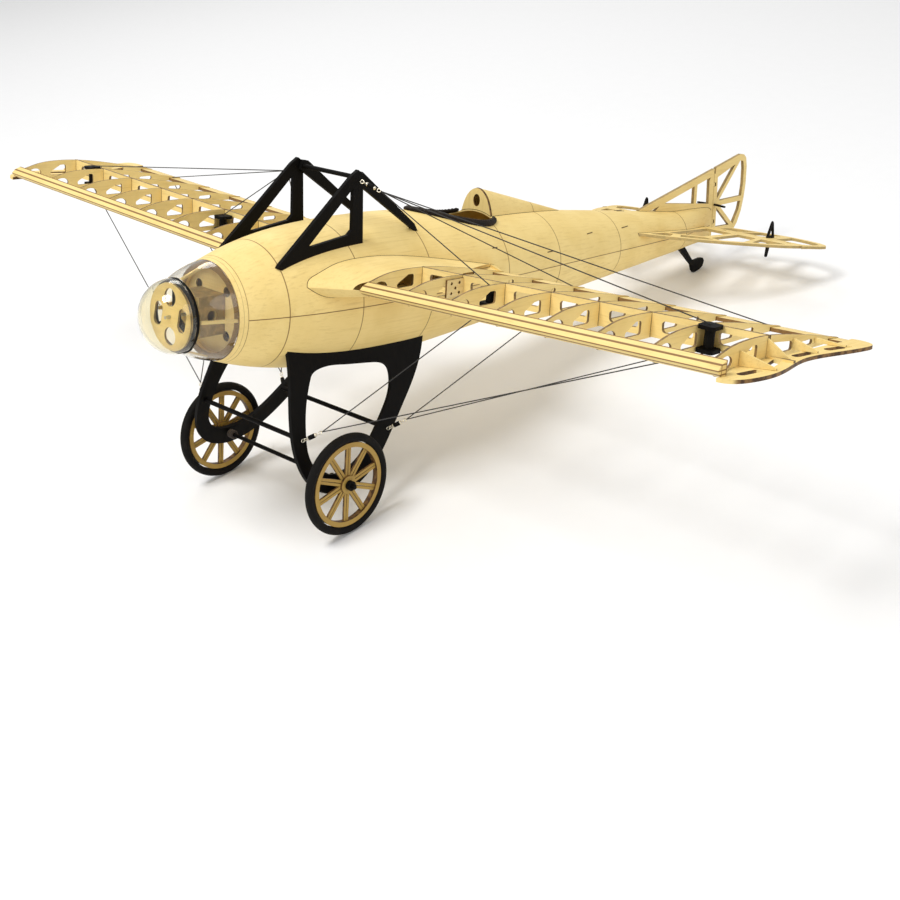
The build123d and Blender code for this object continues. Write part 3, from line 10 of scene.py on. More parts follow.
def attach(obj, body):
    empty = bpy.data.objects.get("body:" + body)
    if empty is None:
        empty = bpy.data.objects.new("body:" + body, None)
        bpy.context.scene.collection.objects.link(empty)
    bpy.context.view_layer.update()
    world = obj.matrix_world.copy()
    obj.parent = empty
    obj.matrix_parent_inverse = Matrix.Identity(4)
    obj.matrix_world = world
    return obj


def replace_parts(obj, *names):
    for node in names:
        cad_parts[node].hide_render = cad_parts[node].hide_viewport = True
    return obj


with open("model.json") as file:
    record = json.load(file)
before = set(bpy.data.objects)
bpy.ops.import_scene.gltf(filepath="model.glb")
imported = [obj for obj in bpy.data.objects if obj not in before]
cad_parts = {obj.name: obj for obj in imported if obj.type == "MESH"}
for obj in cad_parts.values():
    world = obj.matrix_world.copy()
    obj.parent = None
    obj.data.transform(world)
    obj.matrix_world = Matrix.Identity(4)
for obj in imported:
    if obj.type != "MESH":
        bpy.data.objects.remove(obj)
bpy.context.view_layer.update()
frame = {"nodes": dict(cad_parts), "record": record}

# ---------------------------------------------------------------- the level attitude
# The model stands tail-down. Its own axes are read from the spinner's joint, which lies on the fuselage axis.
JOINTS = {joint["name"]: joint for joint in frame["record"]["behaviour"]["joints"]}
SPINNER_STATION = -0.1912       # of that joint, metres aft of the design origin
SPAN_AXIS = Vector((1, 0, 0))
AFT = Vector(JOINTS["spinner_spin"]["axis"])
UP = SPAN_AXIS.cross(AFT)
ORIGIN = Vector(JOINTS["spinner_spin"]["pos_m"]) - AFT * SPINNER_STATION
LEVEL = Matrix((SPAN_AXIS, AFT, UP)).transposed()

# fuselage, metres in the level attitude
SEAM_STATIONS = (-0.1495, -0.112, -0.033, 0.058, 0.178, 0.271, 0.393, 0.545)
WING_NOSE = -0.0551
WING_SWEEP = 0.0546
WING_Z = 0.010
DIHEDRAL = 0.0645
TAIL_SLOPE = -0.0758
ROOT_CHORD = 0.193
TAPER = 0.022                   # loss of chord for each unit of span
NOSE_RING_LENGTH = 0.0086
UPPER_SHEETS = ["fuselage_upper_front", "fuselage_upper_middle", "fuselage_upper_rear"]
LOWER_SHEETS = ["fuselage_lower_front", "fuselage_lower_middle", "fuselage_lower_rear"]


def level(x, y, z):
    """A point given level, in metres, as it is in the standing model."""
    return ORIGIN + LEVEL @ Vector((x, y, z))


# ---------------------------------------------------------------- material nodes
class Nodes:
    """Short calls for building one procedural material."""

    def __init__(self, name):
        self.mat = bpy.data.materials.new(name)
        self.mat.use_nodes = True
        self.tree = self.mat.node_tree
        self.shader = self.tree.nodes["Principled BSDF"]
        coords = self.tree.nodes.new("ShaderNodeTexCoord")
        self.point = coords.outputs["Object"]
        self.normal = coords.outputs["Normal"]

    def link(self, value, socket):
        if isinstance(value, bpy.types.NodeSocket):
            self.tree.links.new(value, socket)
        else:
            socket.default_value = value

    def calc(self, operation, a, b=0.0, clamp=False):
        node = self.tree.nodes.new("ShaderNodeMath")
        node.operation = operation
        node.use_clamp = clamp
        self.link(a, node.inputs[0])
        self.link(b, node.inputs[1])
        return node.outputs[0]

    def dot(self, vector, direction):
        node = self.tree.nodes.new("ShaderNodeVectorMath")
        node.operation = "DOT_PRODUCT"
        self.link(vector, node.inputs[0])
        node.inputs[1].default_value = tuple(direction)
        return node.outputs["Value"]

    def along(self, direction, offset=0.0):
        """Distance along a direction from the design origin."""
        return self.calc("SUBTRACT", self.dot(self.point, direction), ORIGIN.dot(direction) + offset)

    def combine(self, x, y, z):
        node = self.tree.nodes.new("ShaderNodeCombineXYZ")
        for value, socket in zip((x, y, z), node.inputs):
            self.link(value, socket)
        return node.outputs[0]

    def noise(self, vector, scale, detail=3.0, rough=0.55):
        node = self.tree.nodes.new("ShaderNodeTexNoise")
        node.inputs["Scale"].default_value = scale
        node.inputs["Detail"].default_value = detail
        node.inputs["Roughness"].default_value = rough
        self.link(vector, node.inputs["Vector"])
        return node.outputs["Fac"]

    def ramp(self, value, low, high):
        """0 below low, 1 above high, smooth between."""
        node = self.tree.nodes.new("ShaderNodeMapRange")
        node.interpolation_type = "SMOOTHSTEP"
        node.inputs["From Min"].default_value = low
        node.inputs["From Max"].default_value = high
        self.link(value, node.inputs["Value"])
        return node.outputs["Result"]

    def mix(self, factor, a, b):
        node = self.tree.nodes.new("ShaderNodeMix")
        node.data_type = "RGBA"
        self.link(factor, node.inputs["Factor"])
        self.link(self.colour(a), node.inputs[6])
        self.link(self.colour(b), node.inputs[7])
        return node.outputs[2]

    @staticmethod
    def colour(value):
        return value if isinstance(value, bpy.types.NodeSocket) else (*value, 1.0)

    def bump(self, height, distance, strength=1.0):
        node = self.tree.nodes.new("ShaderNodeBump")
        node.inputs["Strength"].default_value = strength
        node.inputs["Distance"].default_value = distance
        self.link(height, node.inputs["Height"])
        self.link(node.outputs[0], self.shader.inputs["Normal"])

    def grain(self, along, across, third):
        """Coordinates squeezed along the grain, in metres."""
        stretched = self.calc("MULTIPLY", self.along(along), 0.035)
        return self.combine(stretched, self.along(across), self.along(third))

    def island(self):
        node = self.tree.nodes.new("ShaderNodeNewGeometry")
        return node.outputs["Random Per Island"]

    def finish(self, colour, roughness, **sockets):
        self.link(self.colour(colour), self.shader.inputs["Base Color"])
        self.link(roughness, self.shader.inputs["Roughness"])
        for name, value in sockets.items():
            self.shader.inputs[name.replace("_", " ")].default_value = value
        return self.mat


PALE = (0.87, 0.665, 0.265)
HONEY = (0.74, 0.525, 0.165)
FLECK = (0.44, 0.27, 0.07)
BURNT = (0.060, 0.026, 0.008)
SCORCH = (0.24, 0.125, 0.035)
WOOD_ROUGHNESS = 0.55


def wood(name, along, across, third, face=None, second_face=None,
         pale=PALE, honey=HONEY, seams=None, burn=1.0):
    """Bare balsa or plywood: streaks, pores and flecks along the grain.

    With a face direction given, surfaces turned away from it are scorched cut edges.
    """
    n = Nodes(name)
    grain = n.grain(along, across, third)
    streak = n.noise(grain, 420, 4, 0.65)
    broad = n.noise(n.point, 26, 3)
    pores = n.noise(grain, 1500, 2, 0.7)
    colour = n.mix(n.calc("MULTIPLY", n.ramp(broad, 0.35, 0.75), 0.55), pale, honey)
    colour = n.mix(n.calc("MULTIPLY", n.ramp(streak, 0.48, 0.78), 0.34), colour, FLECK)
    colour = n.mix(n.calc("MULTIPLY", n.ramp(pores, 0.58, 0.78), 0.28), colour, FLECK)
    tone = n.calc("MULTIPLY", n.island(), 0.30)
    colour = n.mix(tone, colour, tuple(0.5 * (a + b) for a, b in zip(pale, honey)))
    roughness = n.calc("ADD", n.calc("MULTIPLY", streak, 0.16), WOOD_ROUGHNESS - 0.08)
    if face is not None:
        facing = n.calc("ABSOLUTE", n.dot(n.normal, face))
        if second_face is not None:
            facing = n.calc("MAXIMUM", facing, n.calc("ABSOLUTE", n.dot(n.normal, second_face)))
        edge = n.calc("SUBTRACT", 1.0, n.ramp(facing, 0.55, 0.80), True)
        patch = n.noise(n.point, 160, 3)
        cut = n.mix(n.ramp(patch, 0.38, 0.66), BURNT, SCORCH)
        colour = n.mix(n.calc("MULTIPLY", edge, burn), colour, cut)
    if seams:
        for mask in seams(n):
            colour = n.mix(mask, colour, SCORCH)
    n.bump(n.calc("ADD", n.calc("MULTIPLY", streak, 0.6), n.calc("MULTIPLY", pores, 0.4)), 0.00035, 0.7)
    return n.finish(colour, roughness, Specular_IOR_Level=0.35)


def line_mask(n, value, centre, half_width, strength=1.0):
    """A soft line where value is near centre."""
    away = n.calc("ABSOLUTE", n.calc("SUBTRACT", value, centre))
    inside = n.calc("SUBTRACT", 1.0, n.ramp(away, half_width * 0.5, half_width), True)
    return n.calc("MULTIPLY", inside, strength)


def fuselage_seams(n):
    """Scorched lines at the sheet joints: rings at the stations and two along the sides."""
    aft = n.along(AFT)
    for station in SEAM_STATIONS[1:]:
        yield line_mask(n, aft, station, 0.0007, 0.85)
    yield line_mask(n, n.along(UP), 0.0, 0.0006, 0.9)


def ring_lines(n):
    """Scorched joints at both faces of the nose ring, and a fainter one between."""
    aft = n.along(AFT)
    rear = SEAM_STATIONS[0]
    yield line_mask(n, aft, rear, 0.0006, 0.9)
    yield line_mask(n, aft, rear - NOSE_RING_LENGTH, 0.0008, 0.9)
    yield line_mask(n, aft, rear - 0.0040, 0.0003, 0.5)


def lamination_lines(n):
    """Glue lines along the leading edge, which follow its sweep and dihedral."""
    out = n.calc("ABSOLUTE", n.along(SPAN_AXIS))
    height = n.calc("SUBTRACT", n.along(UP), n.calc("MULTIPLY", out, DIHEDRAL))
    back = n.calc("ADD", n.along(AFT), n.calc("MULTIPLY", out, WING_SWEEP))
    for lift in (0.0046, 0.0078, 0.0118):
        yield line_mask(n, height, WING_Z + lift, 0.0007, 1.0)
    yield line_mask(n, back, WING_NOSE + 0.0045, 0.0006, 0.9)
    yield line_mask(n, back, WING_NOSE + 0.0106, 0.0009, 1.0)


def trailing_lines(n):
    """Glue lines along both edges and the middle of the trailing strip."""
    out = n.calc("ABSOLUTE", n.along(SPAN_AXIS))
    back = n.calc("ADD", n.along(AFT), n.calc("MULTIPLY", out, WING_SWEEP + TAPER))
    rear = WING_NOSE + ROOT_CHORD
    yield line_mask(n, back, rear - 0.0156, 0.0006, 0.95)
    yield line_mask(n, back, rear - 0.0070, 0.0004, 0.6)
    yield line_mask(n, back, rear - 0.0004, 0.0006, 0.95)


RUBBED = (0.030, 0.017, 0.007)


def painted(name, colour, rough, wear=0.12):
    """Paint on plywood: the grain telegraphs through, and rubbed spots are browner."""
    n = Nodes(name)
    grain = n.noise(n.grain(UP, AFT, SPAN_AXIS), 260, 4)
    rubbed = n.noise(n.point, 55, 4)
    base = n.mix(n.calc("MULTIPLY", n.ramp(rubbed, 0.56, 0.78), wear), colour, RUBBED)
    n.bump(grain, 0.0004, 0.55)
    roughness = n.calc("ADD", n.calc("MULTIPLY", grain, 0.2), rough - 0.1)
    return n.finish(base, roughness, Specular_IOR_Level=0.10)


def rubber(name):
    """Fine-celled black rubber, dusty in patches."""
    n = Nodes(name)
    fine = n.noise(n.point, 2600, 3, 0.7)
    dust = n.calc("MULTIPLY", n.ramp(n.noise(n.point, 120, 4), 0.5, 0.75), 0.35)
    colour = n.mix(dust, (0.005, 0.0042, 0.0035), (0.022, 0.017, 0.012))
    n.bump(fine, 0.0005, 0.6)
    roughness = n.calc("ADD", n.calc("MULTIPLY", fine, 0.2), 0.65)
    return n.finish(colour, roughness, Specular_IOR_Level=0.15)


def clear(name, tint):
    """Thin vacuum-formed sheet: clear, a little amber, faintly streaked."""
    n = Nodes(name)
    waves = n.noise(n.point, 35, 3)
    n.bump(waves, 0.0012, 0.35)
    smudge = n.noise(n.point, 90, 4)
    roughness = n.calc("ADD", n.calc("MULTIPLY", n.ramp(smudge, 0.45, 0.8), 0.03), 0.015)
    return n.finish(tint, roughness, Transmission_Weight=1.0, IOR=1.22,
                    Specular_IOR_Level=0.8, Coat_Weight=0.6)


def metal(name, colour, rough):
    """Bare metal with darker stains and hair scratches."""
    n = Nodes(name)
    scratch = n.noise(n.point, 900, 4, 0.7)
    stain = n.noise(n.point, 240, 3)
    stained = tuple(c * 0.45 for c in colour)
    base = n.mix(n.calc("MULTIPLY", n.ramp(stain, 0.45, 0.75), 0.45), colour, stained)
    n.bump(scratch, 0.0001, 0.4)
    roughness = n.calc("ADD", n.calc("MULTIPLY", scratch, 0.25), rough - 0.1)
    return n.finish(base, roughness, Metallic=1.0)


def thread(name, colour):
    """Twisted thread: fine slanting ridges."""
    n = Nodes(name)
    wave = n.tree.nodes.new("ShaderNodeTexWave")
    wave.bands_direction = "DIAGONAL"
    wave.inputs["Scale"].default_value = 900
    wave.inputs["Distortion"].default_value = 1.5
    n.link(n.point, wave.inputs["Vector"])
    base = n.mix(wave.outputs["Fac"], colour, tuple(c * 2.2 for c in colour))
    n.bump(wave.outputs["Fac"], 0.0002, 0.5)
    return n.finish(base, 0.7, Sheen_Weight=0.15)


def leather(name):
    """Dark brown leather: small cells over broad folds."""
    n = Nodes(name)
    cells = n.tree.nodes.new("ShaderNodeTexVoronoi")
    cells.inputs["Scale"].default_value = 900
    n.link(n.point, cells.inputs["Vector"])
    folds = n.noise(n.point, 180, 4)
    base = n.mix(n.ramp(folds, 0.35, 0.75), (0.005, 0.003, 0.002), (0.022, 0.012, 0.006))
    n.bump(n.calc("ADD", cells.outputs["Distance"], folds), 0.0006, 0.6)
    roughness = n.calc("ADD", n.calc("MULTIPLY", folds, 0.3), 0.35)
    return n.finish(base, roughness, Specular_IOR_Level=0.15)


TAIL_NORMAL = (UP - AFT * TAIL_SLOPE).normalized()
LENGTHWISE = (AFT, SPAN_AXIS, UP)
SPANWISE = (SPAN_AXIS, AFT, UP)
RIBWISE = (AFT, UP, SPAN_AXIS)
CROSSWISE = (SPAN_AXIS, UP, AFT)

SKIN = wood("balsa_skin", *LENGTHWISE, seams=fuselage_seams)
STUB = wood("balsa_stub", *LENGTHWISE)
RIBS = wood("laser_rib", *RIBWISE, face=SPAN_AXIS, burn=0.9)
SPAR = wood("laser_spar", *SPANWISE, face=AFT, burn=0.85)
LEADING = wood("nose_strip", *SPANWISE, seams=lamination_lines)
TRAILING = wood("tail_strip", *SPANWISE, face=UP, seams=trailing_lines)
BOW = wood("laser_bow", *LENGTHWISE, face=UP, second_face=AFT)
TAIL = wood("laser_tail", *SPANWISE, face=TAIL_NORMAL, burn=0.55)
FIN = wood("laser_fin", *LENGTHWISE, face=SPAN_AXIS, burn=0.7)
FORMER = wood("laser_former", UP, SPAN_AXIS, AFT, face=AFT)
NOSE_PLY = wood("nose_plywood", *CROSSWISE, face=AFT, pale=(0.90, 0.72, 0.34), burn=0.75)
RING_PLY = wood("ring_plywood", *CROSSWISE, seams=ring_lines)
PLATE_PLY = wood("plate_plywood", *RIBWISE, face=SPAN_AXIS, pale=(0.80, 0.64, 0.33))
RIM_PLY = wood("rim_plywood", *RIBWISE, face=SPAN_AXIS, pale=(0.44, 0.28, 0.060), honey=(0.27, 0.15, 0.03))
BLACK = painted("black_paint", (0.0025, 0.002, 0.0016), 0.60)
MATTE_BLACK = painted("matte_black", (0.004, 0.0034, 0.003), 0.65, wear=0.08)
RUBBER = rubber("foam_rubber")
COWL = clear("clear_cowl_sheet", (0.985, 0.965, 0.90))
DOME = clear("clear_dome_sheet", (0.985, 0.94, 0.78))
BRASS = metal("aged_brass", (0.62, 0.44, 0.18), 0.38)
BRIGHT = metal("plated_fitting", (0.80, 0.74, 0.60), 0.32)
STEEL = metal("steel_wire", (0.60, 0.59, 0.57), 0.30)
WIRE = thread("rigging_thread", (0.007, 0.006, 0.005))
CORD = thread("binding_cord", (0.020, 0.012, 0.006))
PADDING = leather("coaming_leather")
# dark brown painted shade: thin lines where parts meet, and strips over the slots
JOIN_SHADE = painted("painted_joint_shade", (0.050, 0.022, 0.007), 0.6)


def material_for(node):
    """The material of one CAD node: the first rule with a word that is in its name."""
    rules = (
        (("axle_bindings",), CORD),
        (("fuselage_upper", "fuselage_lower", "tail_cone", "turtledeck"), SKIN),
        (("wing_stub",), STUB),
        (("wing_ribs",), RIBS),
        (("main_spar",), SPAR),
        (("leading_edge",), LEADING),
        (("trailing_edge",), TRAILING),
        (("wing_tip",), BOW),
        (("elevator_horn", "rudder_horn", "spinner_back_ring", "wheel_collars"), MATTE_BLACK),
        (("tailplane", "elevator"), TAIL),
        (("fin", "rudder"), FIN),
        (("former", "longeron"), FORMER),
        (("nose_ring",), RING_PLY),
        (("nose_sticks",), STUB),
        (("motor_box", "spinner_disc"), NOSE_PLY),
        (("joint_plates",), PLATE_PLY),
        (("spoked_rim",), RIM_PLY),
        (("cabane", "gear_", "tail_skid", "wire_posts", "axle"), BLACK),
        (("tyre",), RUBBER),
        (("clear_cowl",), COWL),
        (("spinner_dome",), DOME),
        (("turnbuckles",), BRASS),
        (("hinge_pins", "propeller_shaft"), STEEL),
        (("rigging_wires",), WIRE),
        (("coaming",), PADDING),
    )
    for words, mat in rules:
        if any(word in node for word in words):
            return mat
    raise KeyError(node)


def dress_nodes():
    """Every CAD node in its material."""
    for name, obj in frame["nodes"].items():
        mat = material_for(name)
        if not obj.material_slots:
            obj.data.materials.append(mat)
        for slot in obj.material_slots:
            slot.material = mat


# ---------------------------------------------------------------- detail pieces
def add_mesh(name, mesh_builder, mat):
    """A new smooth piece from a bmesh, riding on the airframe, with its finish from a slot."""
    mesh = bpy.data.meshes.new(name)
    mesh_builder.to_mesh(mesh)
    mesh_builder.free()
    mesh.polygons.foreach_set("use_smooth", [True] * len(mesh.polygons))
    mesh.materials.append(mat)
    obj = bpy.data.objects.new(name, mesh)
    bpy.context.collection.objects.link(obj)
    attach(obj, "airframe")
    return obj


def surfaces(nodes):
    """A search tree for the mesh of each named node."""
    depsgraph = bpy.context.evaluated_depsgraph_get()
    return [BVHTree.FromObject(frame["nodes"][node], depsgraph) for node in nodes]


def circle(centre, radius, side, other, count):
    """Points round a circle in the plane of two directions."""
    angles = (2 * math.pi * k / count for k in range(count))
    return [centre + radius * (side * math.cos(a) + other * math.sin(a)) for a in angles]


def skin_rings(bm, rings, closed=False):
    """A skin over rings of points, joined end to end or capped at both ends."""
    rings = [[bm.verts.new(point) for point in ring] for ring in rings]
    sides = len(rings[0])
    pairs = list(zip(rings, rings[1:]))
    if closed:
        pairs.append((rings[-1], rings[0]))
    for first, second in pairs:
        for k in range(sides):
            bm.faces.new((first[k], first[(k + 1) % sides], second[(k + 1) % sides], second[k]))
    if not closed:
        bm.faces.new(reversed(rings[0]))
        bm.faces.new(rings[-1])


def tube(bm, points, radius, closed=False, sides=8):
    """A round tube along points, with its frame carried from ring to ring."""
    count = len(points)
    rings = []
    side = None
    for i, point in enumerate(points):
        ahead = points[(i + 1) % count] if closed or i < count - 1 else point
        behind = points[i - 1] if closed or i > 0 else point
        direction = (ahead - behind).normalized()
        if side is None:
            side = direction.orthogonal().normalized()
        side = (side - direction * side.dot(direction)).normalized()
        rings.append(circle(point, radius, side, direction.cross(side), sides))
    skin_rings(bm, rings, closed)


def lathe(bm, start, direction, profile, sides=20):
    """A turned piece: profile is (distance along direction, radius) pairs."""
    side = direction.orthogonal().normalized()
    other = direction.cross(side)
    skin_rings(bm, [circle(start + direction * d, r, side, other, sides) for d, r in profile])


FITTING_GAP = 0.0012            # solids nearer than this belong to one fitting
WELD = 1e-5


def fittings(obj):
    """The separate fittings of a node, as lists of points."""
    bm = bmesh.new()
    bm.from_mesh(obj.data)
    bmesh.ops.remove_doubles(bm, verts=bm.verts, dist=WELD)
    seen = set()
    found = []
    for start in bm.verts:
        if start in seen:
            continue
        group, queue = [], [start]
        seen.add(start)
        while queue:
            vert = queue.pop()
            group.append(vert.co.copy())
            for edge in vert.link_edges:
                other = edge.other_vert(vert)
                if other not in seen:
                    seen.add(other)
                    queue.append(other)
        found.append(group)
    bm.free()
    merged = []
    for group in found:
        home = next((m for m in merged if min((p - q).length for p in group for q in m) < FITTING_GAP), None)
        if home is None:
            merged.append(group)
        else:
            home.extend(group)
    return merged


def ends_of(points):
    """The two ends of a long thin fitting, on the line through its middle."""
    centre = sum(points, Vector()) / len(points)
    far = max(points, key=lambda p: (p - centre).length)
    near = max(points, key=lambda p: (p - far).length)
    direction = (near - far).normalized()
    low = min((p - centre).dot(direction) for p in points)
    high = max((p - centre).dot(direction) for p in points)
    return centre + direction * low, centre + direction * high


EYE_RADIUS = 0.0017
EYE_WIRE = 0.00045
# turned profiles of a turnbuckle: distance from its inner end, or back from its outer end, and radius
INNER_FERRULE = ((0.0062, 0.0011), (0.0068, 0.0017), (0.0078, 0.0019), (0.0084, 0.0017))
OUTER_FERRULE = ((0.0078, 0.0017), (0.0070, 0.0018), (0.0060, 0.0011))
BARREL_INNER = ((0.0083, 0.0016), (0.0088, 0.0021))
BARREL_OUTER = ((0.0084, 0.0021), (0.0078, 0.0016))


def eye_ring(bm, centre, direction, turn):
    """A small wire eye in line with its fitting."""
    side = Matrix.Rotation(turn, 3, direction) @ direction.orthogonal().normalized()
    tube(bm, circle(centre, EYE_RADIUS, direction, side, 16), EYE_WIRE, closed=True, sides=6)


def turnbuckles():
    """Black barrels with plated ends, and small linked eyes, in place of the plain CAD ones."""
    plated, black = bmesh.new(), bmesh.new()
    for points in fittings(frame["nodes"]["turnbuckles"]):
        start, end = ends_of(points)
        if abs(start.x) > abs(end.x):
            start, end = end, start
        direction = (end - start).normalized()
        length = (end - start).length
        for k, place in enumerate((0.0020, 0.0047, length - 0.0022)):
            eye_ring(plated, start + direction * place, direction, k * math.pi / 2)
        lathe(plated, start, direction, INNER_FERRULE)
        lathe(plated, start, direction, [(length - d, r) for d, r in OUTER_FERRULE])
        lathe(black, start, direction, list(BARREL_INNER) + [(length - d, r) for d, r in BARREL_OUTER])
    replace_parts(add_mesh("turnbuckle_ends", plated, BRIGHT), "turnbuckles")
    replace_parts(add_mesh("turnbuckle_barrels", black, MATTE_BLACK), "turnbuckles")


CONTACT_REACH = 0.00012         # a corner this near a neighbour touches it
SHARP = math.radians(20)


def contact_line(name, piece, neighbours, radius=0.0003):
    """Dark lines of painted shade where a piece's sharp edges meet a neighbour's surface."""
    trees = surfaces(neighbours)
    bm = bmesh.new()
    bm.from_mesh(frame["nodes"][piece].data)
    bmesh.ops.remove_doubles(bm, verts=bm.verts, dist=1e-6)
    close = set()
    for vert in bm.verts:
        if any(tree.find_nearest(vert.co, CONTACT_REACH)[0] is not None for tree in trees):
            close.add(vert)
    lines = bmesh.new()
    for edge in bm.edges:
        if not close.issuperset(edge.verts) or len(edge.link_faces) != 2:
            continue
        if edge.calc_face_angle(0) < SHARP or edge.calc_length() < WELD:
            continue
        tube(lines, [v.co.copy() for v in edge.verts], radius, sides=5)
    bm.free()
    if lines.verts:
        add_mesh(name, lines, JOIN_SHADE)
    else:
        lines.free()


ROLL_VOXEL = 0.0008
ROLL_SWELL = 0.0008
COCKPIT_MIDDLE = 0.138
STITCHES = 96
STITCH_RADIUS = 0.00035
STITCH_RISE = 0.0003
LONGEST_STITCH = 0.012


def padded_coaming():
    """The cockpit edge as a stuffed, stitched leather roll."""
    roll = bpy.data.objects.new("coaming_padding", frame["nodes"]["cockpit_coaming"].data.copy())
    bpy.context.collection.objects.link(roll)
    roll.modifiers.new("blocks", "REMESH").mode = "VOXEL"
    roll.modifiers["blocks"].voxel_size = ROLL_VOXEL
    soften = roll.modifiers.new("soften", "SMOOTH")
    soften.iterations = 9
    swell = roll.modifiers.new("swell", "DISPLACE")
    swell.strength = ROLL_SWELL
    swell.mid_level = 0.0
    shaped = bpy.data.meshes.new_from_object(roll.evaluated_get(bpy.context.evaluated_depsgraph_get()))
    roll.modifiers.clear()
    roll.data = shaped
    shaped.polygons.foreach_set("use_smooth", [True] * len(shaped.polygons))
    shaped.materials.clear()
    shaped.materials.append(PADDING)
    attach(roll, "airframe")
    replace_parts(roll, "cockpit_coaming")
    stitches(shaped)


def stitches(mesh):
    """A row of short thread stitches along the middle of the roll's top."""
    middle = level(0, COCKPIT_MIDDLE, 0)
    tree = BVHTree.FromPolygons([v.co for v in mesh.vertices], [p.vertices for p in mesh.polygons])
    bins = {}
    for vert in mesh.vertices:
        place = vert.co - middle
        x, y = place.dot(SPAN_AXIS), place.dot(AFT)
        key = int((math.atan2(y, x) / (2 * math.pi)) % 1.0 * STITCHES)
        bins.setdefault(key, []).append(math.hypot(x, y))
    top = []
    for key in range(STITCHES):
        if key not in bins:
            continue
        angle = 2 * math.pi * (key + 0.5) / STITCHES
        out = 0.5 * (min(bins[key]) + max(bins[key]))
        above = middle + out * (SPAN_AXIS * math.cos(angle) + AFT * math.sin(angle)) + UP * 0.2
        hit = tree.ray_cast(above, -UP)[0]
        if hit is not None:
            top.append(hit + UP * 0.0001)
    bm = bmesh.new()
    for first, second in zip(top, top[1:]):
        step = second - first
        if step.length < LONGEST_STITCH:
            hump = first + step * 0.5 + UP * STITCH_RISE
            tube(bm, [first + step * 0.15, hump, first + step * 0.85], STITCH_RADIUS, sides=6)
    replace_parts(add_mesh("coaming_stitches", bm, CORD), "cockpit_coaming")


SLOT_RADIUS = 0.0005
# short slots in the fuselage sheet, drawn as dark strips for their scorched edges and the painted shade
# inside them: start and end, metres in the level attitude
SLOTS = (
    ((0.0388, 0.3300, 0.0262), (0.0372, 0.3410, 0.0265)),
    ((0.0311, 0.4030, 0.0241), (0.0289, 0.4170, 0.0246)),
    ((0.0526, 0.2475, 0.0171), (0.0514, 0.2590, 0.0172)),
    ((0.0560, 0.1560, 0.0330), (0.0555, 0.1640, 0.0330)),
    ((0.0018, 0.4300, 0.0360), (0.0018, 0.4440, 0.0355)),
)


def sheet_slots():
    """The slots as dark strips laid on the sheet, on both sides: scorched edges and painted shade inside each
    slot.
    """
    bm = bmesh.new()
    trees = surfaces(UPPER_SHEETS)
    for start, end in SLOTS:
        for side in (1, -1):
            points = []
            for step in range(5):
                share = step / 4
                x, y, z = (a + (b - a) * share for a, b in zip(start, end))
                inward = -(SPAN_AXIS * x * side + UP * z).normalized()
                hits = (tree.ray_cast(level(x * side, y, z) - inward * 0.02, inward)[0] for tree in trees)
                point = next((hit for hit in hits if hit is not None), None)
                if point is not None:
                    points.append(point)
            if len(points) > 2:
                tube(bm, points, SLOT_RADIUS, sides=6)
    add_mesh("sheet_slots", bm, JOIN_SHADE)


def joint_lines():
    """Every painted shade line where parts meet, on both sides."""
    for side in ("right", "left"):
        strips = [side + "_main_spar", side + "_leading_edge", side + "_trailing_edge"]
        contact_line(side + "_stub_joint", side + "_wing_stub", UPPER_SHEETS + LOWER_SHEETS)
        contact_line(side + "_rib_joints", side + "_wing_ribs", strips, radius=0.00028)
        contact_line(side + "_cabane_joint", side + "_cabane_frame", UPPER_SHEETS)
    contact_line("headrest_joint", "headrest_former", UPPER_SHEETS)
    contact_line("turtledeck_joint", "turtledeck", UPPER_SHEETS + ["headrest_former"])
    contact_line("fin_joint", "fin", UPPER_SHEETS + ["tail_cone"])
    contact_line("tailplane_joint", "tailplane", UPPER_SHEETS + LOWER_SHEETS + ["tail_cone"])


# ---------------------------------------------------------------- room, lights and camera
MODEL_MIDDLE = (0, 0, 0.15)


def pale_floor():
    """A wide sheet of off-white paper."""
    bpy.ops.mesh.primitive_plane_add(size=30, location=(0, 0, 0))
    floor = bpy.context.object
    floor.name = "floor"
    n = Nodes("floor_paper")
    speck = n.noise(n.point, 40, 2)
    floor.data.materials.append(n.finish(n.mix(speck, (0.86, 0.86, 0.86), (0.88, 0.88, 0.88)), 0.9))


def soft_light(name, place, size, power):
    """A round area light aimed at the model's middle."""
    light = bpy.data.lights.new(name, "AREA")
    light.shape = "DISK"
    light.size = size
    light.energy = power
    obj = bpy.data.objects.new(name, light)
    bpy.context.collection.objects.link(obj)
    obj.location = place
    obj.rotation_mode = "QUATERNION"
    obj.rotation_quaternion = (Vector(MODEL_MIDDLE) - Vector(place)).to_track_quat("-Z", "Y")


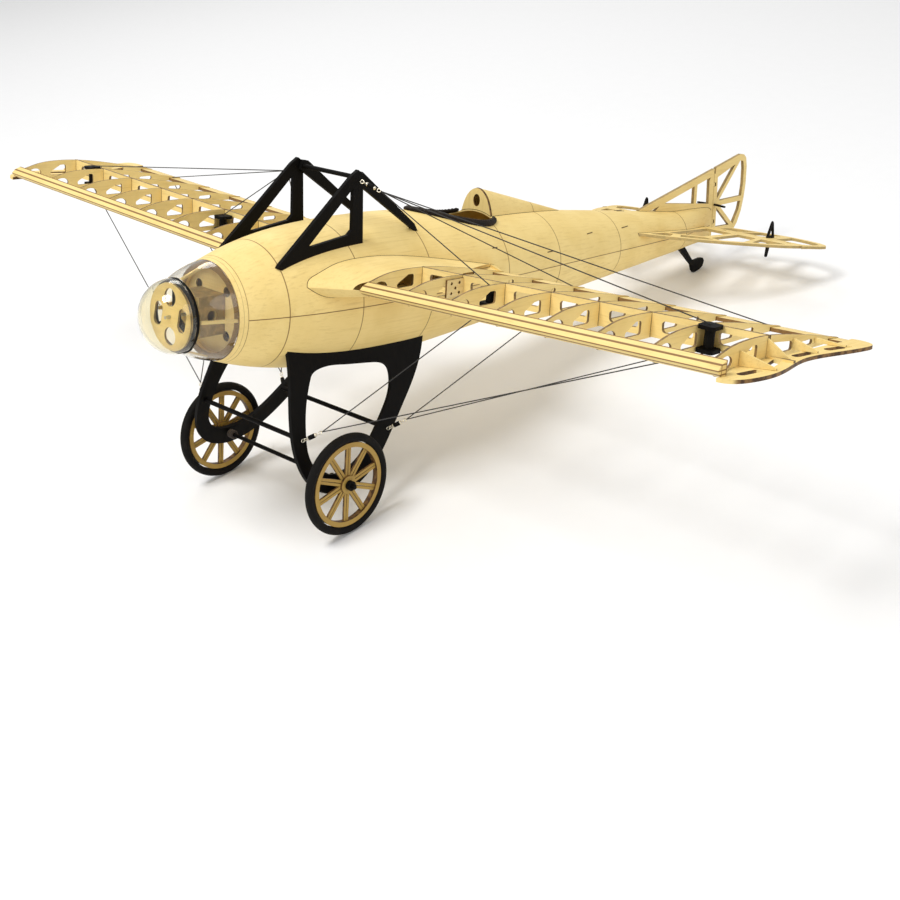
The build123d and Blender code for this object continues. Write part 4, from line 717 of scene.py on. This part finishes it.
def studio():
    """Even white surroundings, three soft lights and a plain view transform."""
    world = bpy.data.worlds.new("studio")
    world.use_nodes = True
    background = world.node_tree.nodes["Background"]
    background.inputs["Color"].default_value = (1.0, 1.0, 1.0, 1.0)
    background.inputs["Strength"].default_value = 0.60
    bpy.context.scene.world = world
    soft_light("key", (-0.2, -1.6, 3.0), 1.3, 72)
    soft_light("fill", (2.6, 0.2, 1.6), 1.8, 12)
    soft_light("rim", (-2.0, 1.6, 2.2), 1.4, 16)
    scene = bpy.context.scene
    scene.view_settings.view_transform = "Standard"
    scene.view_settings.look = "None"


CAMERA_AZIMUTH = 45.08          # of the view in the model's own attitude, degrees
CAMERA_ELEVATION = 18.33
CAMERA_ROLL = -0.247
CAMERA_TIP = 3.873              # nose-up turn between the view's level and the fuselage axis
CAMERA_PLACE = (0.96142, -0.88094, 0.31220)
CAMERA_LENS = 55.62
CAMERA_SHIFT = (0.0394, -0.1194)


def camera():
    """The photograph's viewpoint."""
    azimuth, elevation = math.radians(CAMERA_AZIMUTH), math.radians(CAMERA_ELEVATION)
    back = Vector((
        math.sin(azimuth) * math.cos(elevation),
        -math.cos(azimuth) * math.cos(elevation),
        math.sin(elevation),
    ))
    right = Vector((0, 0, 1)).cross(back).normalized()
    up = back.cross(right)
    roll = Matrix.Rotation(math.radians(-CAMERA_ROLL), 3, back)
    tip = Matrix.Rotation(math.radians(CAMERA_TIP), 3, "X")
    turn = LEVEL @ tip @ roll @ Matrix((right, up, back)).transposed()
    data = bpy.data.cameras.new("camera")
    data.sensor_width = 36
    data.lens = CAMERA_LENS
    data.shift_x, data.shift_y = CAMERA_SHIFT
    data.clip_start, data.clip_end = 0.05, 50
    cam = bpy.data.objects.new("camera", data)
    bpy.context.collection.objects.link(cam)
    cam.matrix_world = Matrix.Translation(level(*CAMERA_PLACE)) @ turn.to_4x4()
    bpy.context.scene.camera = cam


dress_nodes()
turnbuckles()
joint_lines()
padded_coaming()
sheet_slots()
pale_floor()
studio()
camera()
